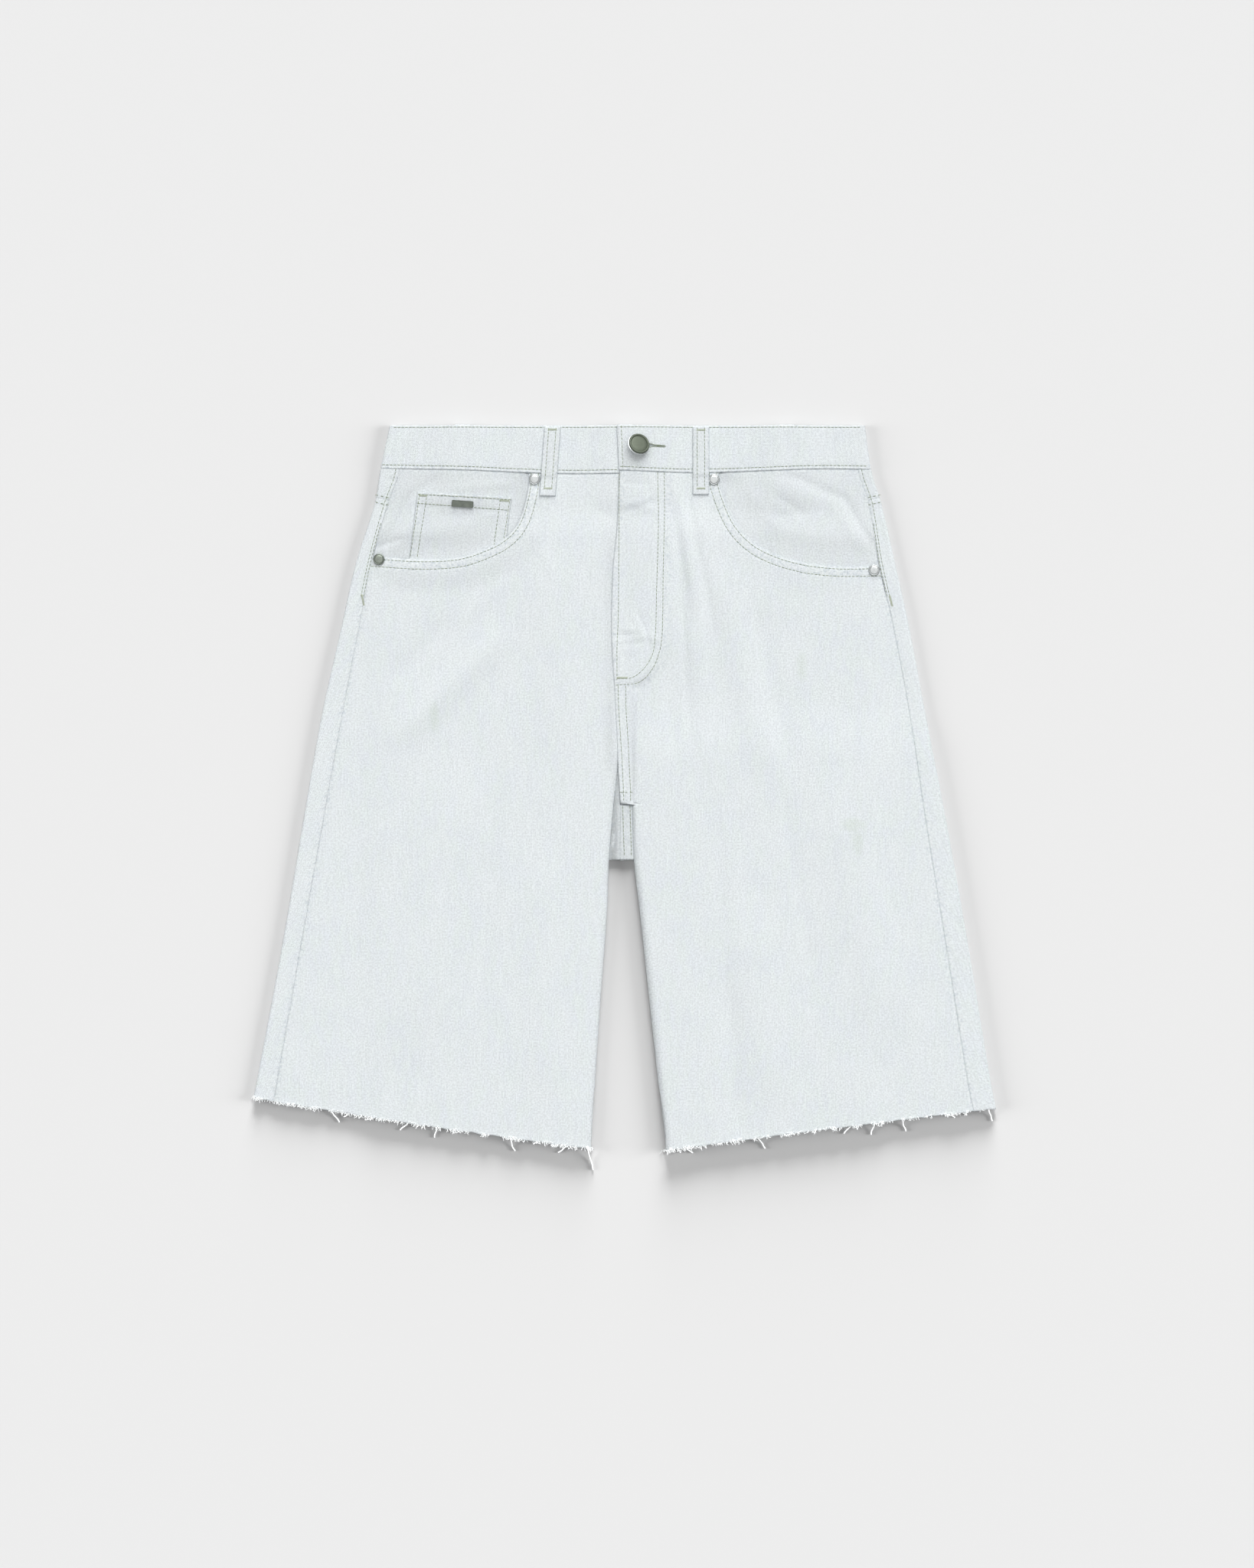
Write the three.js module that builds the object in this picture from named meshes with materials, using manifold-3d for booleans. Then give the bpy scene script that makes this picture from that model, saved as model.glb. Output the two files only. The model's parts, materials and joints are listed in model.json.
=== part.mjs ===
// Denim shorts, buttoned and laid on their back, front side up, with raw frayed hems.
// Millimetres. Plan places are given as `across`, to the right of the centre line as seen
// from above, and `down`, below the top edge of the waistband. `level` is the height of the
// middle of a cloth wall over the surface that the shorts lie on. The wearer's right side
// is the one at negative `across`.
import * as THREE from 'three';
import { mergeVertices } from 'three/addons/utils/BufferGeometryUtils.js';
import Module from 'manifold-3d';

const wasm = await Module();
wasm.setup();

// Cloth and layers
const CLOTH = 1.2;                       // one layer of denim
const SEAM_GAP = 0.3;                    // between two pieces that are sewn together
const SIDE_GAP = 0.45;                   // at the side seams, whose two edges curve
const LAYER = CLOTH + SEAM_GAP;          // from one layer to the next one lying on it
const BAND = 2 * CLOTH;                  // the waistband is folded, so two layers
const BACK_LEVEL = CLOTH / 2;
const FRONT_LEVEL = 3.9;
const BAND_BACK_LEVEL = BAND / 2;
const LOOP = 1.8;                        // a belt loop is a folded strip

// Main sizes of the garment as it lies
const BAND_DEPTH = 37;
const YOKE_AT_EDGE = 62;                 // yoke seam where it crosses the outer edge
const YOKE_SLOPE = 0.22;                 // its fall towards the centre back
const CROTCH_DOWN = 325;                 // where the four panels meet
const CROTCH_FOLD_DOWN = 372;            // lowest point of the cloth between the legs
const HEM_STRIP = 1.5;                   // width of the frayed strip along a hem

// The outer edge, and how far the back panel wraps over it to the side seam
const sideRows = [
  { down: 0, rightEdge: 202.6, rightWrap: 11, leftEdge: 207.6, leftWrap: 9 },
  { down: 40, rightEdge: 210.9, rightWrap: 16, leftEdge: 213.5, leftWrap: 11 },
  { down: 66, rightEdge: 215.2, rightWrap: 11.2, leftEdge: 221.5, leftWrap: 10.5 },
  { down: 119, rightEdge: 231.8, rightWrap: 13.2, leftEdge: 233.8, leftWrap: 14 },
  { down: 172, rightEdge: 243.9, rightWrap: 15, leftEdge: 245.5, leftWrap: 13.5 },
  { down: 251, rightEdge: 261.5, rightWrap: 17.5, leftEdge: 260.4, leftWrap: 13.8 },
  { down: 343, rightEdge: 277.5, rightWrap: 17, leftEdge: 278.2, leftWrap: 17.8 },
  { down: 449, rightEdge: 295.5, rightWrap: 16, leftEdge: 296.9, leftWrap: 19.3 },
  { down: 568, rightEdge: 317.8, rightWrap: 17.4, leftEdge: 316.5, leftWrap: 19.9 },
  { down: 592, rightEdge: 322.6, rightWrap: 18, leftEdge: 321.4, leftWrap: 20 },
];

// Front edge of each panel at the fly and the rise; the left one laps over the right one
const riseRows = [
  { down: 36, right: 5, left: -3.4 },
  { down: 90, right: 5, left: -6 },
  { down: 125, right: 5, left: -9.4 },
  { down: 180, right: 4.5, left: -10.6 },
  { down: 220, right: 3.5, left: -8.4 },
  { down: 290, right: 0.5, left: -5 },
  { down: 325, right: -9.6, left: -3 },
];

// Inner edge of each leg, below the crotch
const inseamRows = [
  { down: 325, right: -9.6, left: 6.9 },
  { down: 372, right: -13.6, left: 8.5 },
  { down: 422, right: -15.6, left: 14.2 },
  { down: 502, right: -21.5, left: 22.8 },
  { down: 581, right: -26.7, left: 31.4 },
  { down: 625, right: -29.1, left: 36.3 },
];

// Lower edge of the waistband in front
const waistRows = {
  right: [
    { across: -215, down: 36.3 }, { across: -132, down: 38.3 }, { across: -84, down: 40.3 },
    { across: -46, down: 41.2 }, { across: 30, down: 40.6 },
  ],
  left: [
    { across: -10, down: 38.2 }, { across: 59, down: 40.3 }, { across: 119, down: 38.8 },
    { across: 170, down: 37.1 }, { across: 218, down: 37.8 },
  ],
};

// Free edge of the front panel at each pocket mouth, from the waistband to the side seam
const mouthRows = {
  right: [
    { across: -82.2, down: 41 }, { across: -82.9, down: 55 }, { across: -91.8, down: 84.5 },
    { across: -104.2, down: 98.2 }, { across: -123.2, down: 107.8 }, { across: -141.9, down: 113.5 },
    { across: -173.4, down: 115.6 }, { across: -217.8, down: 112.9 },
  ],
  left: [
    { across: 81.4, down: 41 }, { across: 82.4, down: 51.5 }, { across: 95.9, down: 85 },
    { across: 111, down: 101.1 }, { across: 127.9, down: 110.4 }, { across: 153.6, down: 118.1 },
    { across: 184, down: 121.6 }, { across: 222, down: 121.2 },
  ],
};

// Hem lines, from the inner to the outer corner, with the bow between them
const hems = {
  right: { inner: [-29, 623.2], outer: [-320.6, 579.2], bow: 1.6 },
  left: { inner: [36.2, 624.4], outer: [320.7, 588.7], bow: -0.8 },
};

// Soft ridges (height over 0) and troughs (under 0) of the front. `turn` is the angle of the
// fold's line from straight down, in degrees, positive towards the outer right.
const folds = [
  { across: 58, down: 140, long: 150, wide: 11, height: 2.2, turn: -2 },
  { across: 47, down: 210, long: 150, wide: 8, height: -1.0, turn: -6 },
  { across: 100, down: 200, long: 190, wide: 15, height: 1.8, turn: 12 },
  { across: 128, down: 225, long: 150, wide: 10, height: -1.0, turn: 14 },
  { across: 92, down: 540, long: 130, wide: 9, height: -1.2, turn: 4 },
  { across: 118, down: 500, long: 160, wide: 20, height: 1.6, turn: 6 },
  { across: 205, down: 420, long: 210, wide: 24, height: 1.7, turn: 14 },
  { across: -150, down: 225, long: 130, wide: 13, height: 1.8, turn: -46 },
  { across: -175, down: 195, long: 70, wide: 8, height: -1.1, turn: -40 },
  { across: -165, down: 420, long: 230, wide: 28, height: 1.8, turn: -10 },
  { across: -70, down: 470, long: 180, wide: 18, height: 1.3, turn: -3 },
  { across: -60, down: 190, long: 160, wide: 22, height: 1.3, turn: 2 },
  { across: 18, down: 70, long: 26, wide: 3, height: 0.7, turn: 74 },
  { across: 16, down: 180, long: 34, wide: 3.5, height: 0.8, turn: 70 },
];

// Where the layers below push the cloth up: back patch pockets and back belt loops
const backPocket = {
  across: 112, down: 112, width: 160, sideLength: 148, pointDrop: 22, taper: 9, tilt: 5,
};
const backLoops = [
  { name: 'loop_back_right', across: -140 },
  { name: 'loop_back_centre', across: 0 },
  { name: 'loop_back_left', across: 140 },
];
const BACK_LOOP_LENGTH = 56;
const BACK_LOOP_WIDTH = 13;
const frontLoops = [
  { name: 'loop_front_right', top: -62.1, foot: -66.7, from: 1.5, to: 60.4, width: 13.2 },
  { name: 'loop_front_left', top: 65.7, foot: 65.7, from: 1.3, to: 59.1, width: 13.2 },
];

const rivets = [
  { name: 'rivet_right_side', across: -211.5, down: 115.3 },
  { name: 'rivet_right_waist', across: -77.5, down: 46.2 },
  { name: 'rivet_left_waist', across: 77.3, down: 46.4 },
  { name: 'rivet_left_side', across: 215.2, down: 124.6 },
];
const RIVET_RADIUS = 4.85;
const RIVET_HEIGHT = 2.0;

const button = { across: 12.6, down: 16.6, radius: 9.25, thick: 3.2, tilt: 28, towards: 45, shank: 3 };
const buttonhole = { length: 22, slit: 1.0, clearance: 0.4 };

// Waistband and fly lap: the left end lies over the right end
const UNDERLAP_END = 28;
const FLAP_TOP = -6.3;
const FLAP_FOOT = -4.4;
const LAP_RISE = BAND + SEAM_GAP;
const FLY_DOWN = 225;
const FLY_WIDTH = 42;

// The coin pocket's upper corners, and where its sides run in under the pocket mouth
const coinPocket = { topOuter: [-178, 57.8], topInner: [-97.8, 62.2], footOuter: -185.6, footInner: -102.6, tuck: 4.5 };
const COIN_RISE = LAYER + 0.12;          // a little more than a layer, as the facing curves
const coinPlate = { across: -139.4, down: 67.7, width: 18.6, height: 5.7, thick: 0.8, tilt: -4 };

const looks = {
  denim: { color: 0xe2e8ea, roughness: 0.92, metalness: 0 },
  steel: { color: 0xc4c6c4, roughness: 0.28, metalness: 1 },
  gunmetal: { color: 0x5b605c, roughness: 0.4, metalness: 0.9 },
};

const right = { name: 'right', hand: -1 };
const left = { name: 'left', hand: 1 };
const sides = [right, left];

function smooth(from, to, x) {
  return THREE.MathUtils.smoothstep(x, from, to);
}

// A smooth curve through one column of a table, at a value of its key column
function column(rows, key, name, at) {
  const last = rows.length - 1;
  let i = 0;
  while (i < last - 1 && rows[i + 1][key] <= at) i += 1;
  const slope = (k) => {
    const a = rows[Math.max(k - 1, 0)];
    const b = rows[Math.min(k + 1, last)];
    return (b[name] - a[name]) / (b[key] - a[key]);
  };
  const a = rows[i];
  const b = rows[i + 1];
  const run = b[key] - a[key];
  const t = THREE.MathUtils.clamp((at - a[key]) / run, 0, 1);
  const t2 = t * t;
  const t3 = t2 * t;
  const ends = a[name] * (2 * t3 - 3 * t2 + 1) + b[name] * (3 * t2 - 2 * t3);
  return ends + run * (slope(i) * (t3 - 2 * t2 + t) + slope(i + 1) * (t3 - t2));
}

function edgeOut(side, down) {
  return column(sideRows, 'down', side.name + 'Edge', down);
}

function seamOut(side, down) {
  return edgeOut(side, down) - column(sideRows, 'down', side.name + 'Wrap', down);
}

function riseAcross(side, down) {
  return column(riseRows, 'down', side.name, down);
}

function inseamAcross(side, down) {
  return column(inseamRows, 'down', side.name, down);
}

function waistDown(side, across) {
  return column(waistRows[side.name], 'across', 'down', across);
}

function hemDown(side, across) {
  const { inner, outer, bow } = hems[side.name];
  const t = (across - inner[0]) / (outer[0] - inner[0]);
  return inner[1] + t * (outer[1] - inner[1]) + bow * 4 * t * (1 - t);
}

function yokeDown(side, out) {
  return YOKE_AT_EDGE + YOKE_SLOPE * (edgeOut(side, YOKE_AT_EDGE) - out);
}

function seatAcross(down) {
  return THREE.MathUtils.mapLinear(down, BAND_DEPTH, CROTCH_FOLD_DOWN, -1.5, -3.6);
}

for (const side of sides) {
  const points = mouthRows[side.name].map((row) => new THREE.Vector3(row.across, row.down, 0));
  side.mouth = new THREE.CatmullRomCurve3(points, false, 'centripetal');
  side.mouthPoints = side.mouth.getSpacedPoints(60);
}

// Distance to the pocket mouth, positive on the side of the pocket facing
function mouthDistance(side, across, down) {
  const here = new THREE.Vector3(across, down, 0);
  const points = side.mouthPoints;
  let best = 0;
  points.forEach((point, i) => {
    if (point.distanceTo(here) < points[best].distanceTo(here)) best = i;
  });
  const before = points[Math.max(best - 1, 0)];
  const after = points[Math.min(best + 1, points.length - 1)];
  const along = after.clone().sub(before);
  const turn = along.x * (down - before.y) - along.y * (across - before.x);
  return Math.sign(turn) * -side.hand * points[best].distanceTo(here);
}

// 1 inside a box in plan, falling softly to 0 over `ramp` outside it
function softBox(across, down, box, ramp) {
  const beyondX = Math.max(0, Math.abs(across - box.across) - box.halfWidth);
  const beyondY = Math.max(0, box.from - down, down - box.to);
  return 1 - smooth(0, ramp, Math.hypot(beyondX, beyondY));
}

function lift(across, down) {
  const overLoops = backLoops.map((loop) => softBox(across, down, {
    across: loop.across, halfWidth: BACK_LOOP_WIDTH / 2 + 1.8, from: -5, to: BACK_LOOP_LENGTH + 1,
  }, 26));
  const overPocket = softBox(Math.abs(across), down, {
    across: backPocket.across,
    halfWidth: backPocket.width / 2 + 14,
    from: backPocket.down - 16,
    to: backPocket.down + backPocket.sideLength + backPocket.pointDrop + 16,
  }, 26);
  const side = across < 0 ? right : left;
  const inside = edgeOut(side, down) - side.hand * across;
  return smooth(2, 14, inside) * Math.max((LOOP + SEAM_GAP) * Math.max(...overLoops), LAYER * overPocket);
}

function foldHeight(across, down) {
  let height = 0;
  for (const fold of folds) {
    const turn = THREE.MathUtils.degToRad(fold.turn);
    const dx = across - fold.across;
    const dy = down - fold.down;
    const along = dy * Math.cos(turn) + dx * Math.sin(turn);
    const off = dx * Math.cos(turn) - dy * Math.sin(turn);
    const end = 1 - smooth(0.45, 1, Math.abs(along) / (fold.long / 2 * 1.3));
    height += fold.height * end * Math.exp(-((off / fold.wide) ** 2));
  }
  return height * smooth(44, 80, down);
}

// The legs swell on both sides of the rise seam, which lies in a valley at the crotch
function legSwell(across, down) {
  return 1.6 * smooth(4, 40, Math.abs(across + 4)) * smooth(190, 300, down);
}

function lapShare(across) {
  return 1 - smooth(33, 50, across);
}

// How far the left front stands over the right one at the fly, the rise seam and the crotch
function lapRise(across, down) {
  const curve = Math.min(1, Math.max(0, (down - 165) / (FLY_DOWN - 165)));
  const bend = FLY_WIDTH * (1 - Math.sqrt(1 - curve * curve));
  const flyHeight = THREE.MathUtils.lerp(LAP_RISE, 2.0, smooth(50, 180, down));
  const fly = flyHeight * lapShare(across + bend) * (1 - smooth(FLY_DOWN - 6, FLY_DOWN + 8, down));
  const seam = LAYER * (1 - smooth(7.5, 12, across)) * smooth(190, 215, down);
  const crease = 1.9 * smooth(6.8, 10.5, across) * smooth(235, 290, down);
  return Math.max(fly, seam) + crease;
}

function frontLevel(side, across, down) {
  const inside = edgeOut(side, down) - side.hand * across;
  const soft = foldHeight(across, down) + legSwell(across, down);
  let level = FRONT_LEVEL + lift(across, down) + soft * smooth(4, 26, inside);
  const fromMouth = -mouthDistance(side, across, down);
  const mouthRise = side === right ? LAYER + 0.45 : 0.5;
  level += mouthRise * (1 - smooth(8, 30, Math.abs(fromMouth))) * smooth(46, 62, down)
    * smooth(4, 26, seamOut(side, down) - side.hand * across);
  if (side === left) level += lapRise(across, down);
  return level;
}

// At the inner edge of a leg the front rolls down to lie on the back
function rolledLevel(side, across, down) {
  const level = frontLevel(side, across, down);
  const foot = BACK_LEVEL + LAYER;
  const inside = side.hand * (across - inseamAcross(side, down));
  const t = THREE.MathUtils.clamp(inside / 6, 0, 1);
  const rolled = foot + (level - foot) * Math.sqrt(1 - (1 - t) ** 2);
  const start = side === right ? CROTCH_DOWN - 24 : CROTCH_DOWN - 0.5;
  const share = down < start ? 0 : smooth(start, CROTCH_DOWN + 1, down);
  return THREE.MathUtils.lerp(level, rolled, share);
}

function facingLevel(side, across, down) {
  const dip = 1 - smooth(6, 26, mouthDistance(side, across, down));
  return FRONT_LEVEL + lift(across, down) - LAYER * dip;
}

function bandLevel(side, across, down) {
  const lap = side === left ? LAP_RISE * lapShare(across) : 0;
  return FRONT_LEVEL + lift(across, down) + lap;
}

// Height of the cloth that a loop, rivet or pocket lies on
function topOf(side, across, down) {
  const seam = waistDown(side, across);
  const onBand = 1 - smooth(seam, seam + 3, down);
  const panel = frontLevel(side, across, down) + CLOTH / 2;
  const band = bandLevel(side, across, down) + BAND / 2;
  return THREE.MathUtils.lerp(panel, band, onBand);
}

function place(across, down, level) {
  return new THREE.Vector3(across, -down, level);
}

// One point of a wall that follows a height over the plan, with the way it faces
function onField(field, across, down) {
  const step = 0.5;
  const slopeX = (field(across + step, down) - field(across - step, down)) / (2 * step);
  const slopeY = (field(across, down - step) - field(across, down + step)) / (2 * step);
  const out = new THREE.Vector3(-slopeX, -slopeY, 1);
  const steepest = Math.hypot(slopeX, slopeY);
  if (steepest > 1.4) out.set(-slopeX * 1.4 / steepest, -slopeY * 1.4 / steepest, 1);
  return { at: place(across, down, field(across, down)), out: out.normalize() };
}

// A closed wall of one thickness about a grid of points that each know which way they face
function wall(grid, thick) {
  const rows = grid.length;
  const cols = grid[0].length;
  const positions = [];
  for (const share of [0.5, -0.5]) {
    for (const row of grid) {
      for (const { at, out } of row) {
        const point = at.clone().addScaledVector(out, share * thick);
        positions.push(point.x, point.y, Math.max(0, point.z));
      }
    }
  }
  const index = (layer, i, j) => layer * rows * cols + i * cols + j;
  const faces = [];
  const quad = (a, b, c, d) => faces.push(a, b, c, a, c, d);
  for (let i = 0; i < rows - 1; i += 1) {
    for (let j = 0; j < cols - 1; j += 1) {
      quad(index(0, i, j), index(0, i + 1, j), index(0, i + 1, j + 1), index(0, i, j + 1));
      quad(index(1, i, j), index(1, i, j + 1), index(1, i + 1, j + 1), index(1, i + 1, j));
    }
    quad(index(0, i, 0), index(1, i, 0), index(1, i + 1, 0), index(0, i + 1, 0));
    quad(index(0, i, cols - 1), index(0, i + 1, cols - 1), index(1, i + 1, cols - 1), index(1, i, cols - 1));
  }
  for (let j = 0; j < cols - 1; j += 1) {
    quad(index(0, 0, j), index(0, 0, j + 1), index(1, 0, j + 1), index(1, 0, j));
    quad(index(0, rows - 1, j), index(1, rows - 1, j), index(1, rows - 1, j + 1), index(0, rows - 1, j + 1));
  }
  return facingOut(positions, faces);
}

// Turns every face round where a closed surface came out inside out
function facingOut(positions, faces) {
  const corner = (k) => new THREE.Vector3().fromArray(positions, 3 * faces[k]);
  let volume = 0;
  for (let k = 0; k < faces.length; k += 3) {
    volume += corner(k).dot(corner(k + 1).cross(corner(k + 2)));
  }
  if (volume < 0) {
    for (let k = 0; k < faces.length; k += 3) {
      [faces[k + 1], faces[k + 2]] = [faces[k + 2], faces[k + 1]];
    }
  }
  const geometry = new THREE.BufferGeometry();
  geometry.setAttribute('position', new THREE.Float32BufferAttribute(positions, 3));
  geometry.setIndex(faces);
  return geometry;
}

function toSolid(geometry) {
  const bare = geometry.clone();
  bare.deleteAttribute('normal');
  bare.deleteAttribute('uv');
  const merged = mergeVertices(bare, 1e-3);
  return new wasm.Manifold(new wasm.Mesh({
    numProp: 3,
    vertProperties: new Float32Array(merged.attributes.position.array),
    triVerts: new Uint32Array(merged.index.array),
  }));
}

function toGeometry(solid) {
  const mesh = solid.getMesh();
  const geometry = new THREE.BufferGeometry();
  geometry.setAttribute('position', new THREE.Float32BufferAttribute(mesh.vertProperties, mesh.numProp));
  geometry.setIndex(new THREE.BufferAttribute(mesh.triVerts, 1));
  return geometry;
}

// Plan grid between four edges, each a function of 0 to 1 that gives [across, down]
function patch({ top, foot, inner, outer }, us, vs) {
  const corner = [top(0), top(1), foot(0), foot(1)];
  return vs.map((v) => us.map((u) => [0, 1].map((k) => {
    const ruled = (1 - v) * top(u)[k] + v * foot(u)[k] + (1 - u) * inner(v)[k] + u * outer(v)[k];
    const flat = (1 - v) * ((1 - u) * corner[0][k] + u * corner[1][k])
      + v * ((1 - u) * corner[2][k] + u * corner[3][k]);
    return ruled - flat;
  })));
}

function panelFromField(plan, field, thick) {
  return wall(plan.map((row) => row.map(([across, down]) => onField(field, across, down))), thick);
}

function lerpPoint(a, b, t) {
  return [a[0] + (b[0] - a[0]) * t, a[1] + (b[1] - a[1]) * t];
}

// Front panels
const MOUTH_SHARE = 0.36;                // of the panel's upper edge that is waist seam
const CROTCH_SHARE = 0.49;               // of its inner edge that lies above the crotch
const FRONT_COLUMNS = [0, 0.004, 0.011, 0.022, 0.05, 0.1, 0.16, 0.22, 0.29, 0.36, 0.44, 0.53, 0.63, 0.73, 0.83, 0.92, 1];
const FRONT_ROWS = [0, 0.02, 0.05, 0.09, 0.14, 0.19, 0.25, 0.31, 0.37, 0.43, 0.49, 0.493, 0.53, 0.58, 0.64, 0.71, 0.78, 0.85, 0.93, 1];

function frontPanel(side) {
  const waistFrom = riseAcross(side, waistDown(side, 0));
  const waistTo = side.mouthPoints[0].x;
  const top = (u) => {
    if (u > MOUTH_SHARE) {
      const point = side.mouth.getPointAt((u - MOUTH_SHARE) / (1 - MOUTH_SHARE));
      const seam = side.hand * (seamOut(side, point.y) - SIDE_GAP);
      const across = side.hand * Math.min(side.hand * point.x, side.hand * seam);
      return [across, Math.max(point.y, waistDown(side, point.x) + SEAM_GAP)];
    }
    const across = THREE.MathUtils.lerp(waistFrom, waistTo, u / MOUTH_SHARE);
    return [across, waistDown(side, across) + SEAM_GAP];
  };
  const seamAcross = (down) => side.hand * (seamOut(side, down) - SIDE_GAP);
  let hemEnd = seamAcross(584);
  for (let round = 0; round < 4; round += 1) hemEnd = seamAcross(hemDown(side, hemEnd) - HEM_STRIP - SEAM_GAP);
  const hemStart = inseamAcross(side, 622);
  const foot = (u) => {
    const across = THREE.MathUtils.lerp(hemStart, hemEnd, u);
    return [across, hemDown(side, across) - HEM_STRIP - SEAM_GAP];
  };
  const start = top(0)[1];
  const inner = (v) => {
    if (v <= CROTCH_SHARE) {
      const down = THREE.MathUtils.lerp(start, CROTCH_DOWN, v / CROTCH_SHARE);
      return [riseAcross(side, down), down];
    }
    const down = THREE.MathUtils.lerp(CROTCH_DOWN, foot(0)[1], (v - CROTCH_SHARE) / (1 - CROTCH_SHARE));
    return [THREE.MathUtils.lerp(inseamAcross(side, down), hemStart, smooth(0.9, 1, v)), down];
  };
  const cornerDown = top(1)[1];
  const outer = (v) => {
    const down = THREE.MathUtils.lerp(cornerDown, foot(1)[1], v);
    return [seamAcross(down), down];
  };
  const plan = patch({ top, foot, inner, outer }, FRONT_COLUMNS, FRONT_ROWS);
  return panelFromField(plan, (a, d) => rolledLevel(side, a, d), CLOTH);
}

// A point of the back cloth: flat below, round the outer edge, then in over the top to the
// side seam. `u` runs 0 to FLAT on the flat, to 1 at the seam.
const FLAT = 0.72;
const TURN_END = 0.88;
const TURN_RADIUS = (FRONT_LEVEL - BACK_LEVEL) / 2;

function wrapped(side, inner, down, u) {
  const flatEnd = edgeOut(side, down) - CLOTH / 2 - TURN_RADIUS;
  if (u <= FLAT) {
    const across = THREE.MathUtils.lerp(inner, side.hand * flatEnd, u / FLAT);
    return { at: place(across, down, BACK_LEVEL + lift(across, down)), out: new THREE.Vector3(0, 0, -1) };
  }
  if (u < TURN_END) {
    const turn = Math.PI * (u - FLAT) / (TURN_END - FLAT);
    const across = side.hand * (flatEnd + TURN_RADIUS * Math.sin(turn));
    const level = BACK_LEVEL + TURN_RADIUS * (1 - Math.cos(turn));
    return { at: place(across, down, level), out: new THREE.Vector3(side.hand * Math.sin(turn), 0, -Math.cos(turn)) };
  }
  const out = THREE.MathUtils.lerp(flatEnd, seamOut(side, down), (u - TURN_END) / (1 - TURN_END));
  const across = side.hand * out;
  return { at: place(across, down, frontLevel(side, across, down)), out: new THREE.Vector3(0, 0, 1) };
}

const PANEL_COLUMNS = [0, 0.1, 0.2, 0.3, 0.4, 0.5, 0.6, 0.66, FLAT, 0.76, 0.8, 0.84, TURN_END, 1];
const YOKE_COLUMNS = [0, 0.032, 0.11, 0.24, 0.37, 0.445, 0.505, 0.58, 0.65, FLAT, 0.76, 0.8, 0.84, TURN_END, 1];

function outAt(side, inner, down, u) {
  return side.hand * wrapped(side, inner, down, u).at.x;
}

// Back cloth between two lines, each a function of the distance out from the centre. The
// distance out depends on how far down the point is, so a few rounds settle the two.
function backCloth(side, innerAt, topDown, footDown, rows, columns) {
  return rows.map((v) => columns.map((u) => {
    const inner = innerAt(THREE.MathUtils.lerp(topDown(0, 0), footDown(0), v));
    let down = THREE.MathUtils.lerp(topDown(0, u), footDown(0), v);
    for (let round = 0; round < 8; round += 1) {
      const out = outAt(side, inner, down, u);
      down = THREE.MathUtils.lerp(topDown(out, u), footDown(out), v);
    }
    return wrapped(side, inner, down, u);
  }));
}

function seatEdge(side, down) {
  return seatAcross(down) + side.hand * SEAM_GAP / 2;
}

function backYoke(side) {
  const inner = (down) => seatEdge(side, down);
  const seam = (out) => yokeDown(side, out) - SEAM_GAP / 2;
  const top = (out, u) => {
    const over = THREE.MathUtils.clamp((u - FLAT) / (TURN_END - FLAT), 0, 1);
    return THREE.MathUtils.lerp(BAND_DEPTH, waistDown(side, side.hand * out), over) + SEAM_GAP;
  };
  return wall(backCloth(side, inner, top, seam, [0, 0.25, 0.5, 0.75, 1], YOKE_COLUMNS), CLOTH);
}

function backPanel(side) {
  const top = (out) => yokeDown(side, out) + SEAM_GAP / 2;
  const foot = (out) => hemDown(side, side.hand * out) - HEM_STRIP - SEAM_GAP;
  const crotch = (CROTCH_FOLD_DOWN - top(0)) / (foot(0) - top(0));
  const inner = (down) => (down < CROTCH_FOLD_DOWN + 0.5 ? seatEdge(side, down) : inseamAcross(side, down));
  const rows = [0, 0.04, 0.08, 0.13, 0.19, 0.27, 0.35, 0.44, crotch, crotch + 0.003, 0.58, 0.68, 0.79, 0.9, 1];
  const flat = wall(backCloth(side, inner, top, foot, rows, PANEL_COLUMNS), CLOTH);
  return toGeometry(toSolid(flat).add(toSolid(crotchFold(side))));
}

// The back cloth folds forward under the crotch and comes up between the legs
function crotchFold(side) {
  const low = BACK_LEVEL;
  const high = side === left ? 2.9 : 2.4;
  const radius = (high - low) / 2;
  const start = CROTCH_FOLD_DOWN - 7;
  const centre = CROTCH_FOLD_DOWN - radius - CLOTH / 2;
  const steps = [];
  steps.push({ down: start, level: low, out: [0, 0, -1] });
  for (const turn of [0, 0.25, 0.5, 0.75, 1]) {
    const angle = Math.PI * turn;
    steps.push({
      down: centre + radius * Math.sin(angle),
      level: low + radius * (1 - Math.cos(angle)),
      out: [0, -Math.sin(angle), -Math.cos(angle)],
    });
  }
  for (const down of [350, CROTCH_DOWN + 2.4]) {
    steps.push({ down, level: high + 0.5 * (1 - smooth(CROTCH_DOWN, 350, down)), out: [0, 0, 1] });
  }
  const grid = steps.map(({ down, level, out }) => {
    const from = seatAcross(CROTCH_FOLD_DOWN) + side.hand * SEAM_GAP / 2;
    const to = inseamAcross(side, down) - side.hand * 0.7;
    return [0, 0.5, 1].map((t) => ({
      at: place(THREE.MathUtils.lerp(from, to, t), down, level),
      out: new THREE.Vector3(...out),
    }));
  });
  return wall(grid, CLOTH * 0.94);
}

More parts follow.
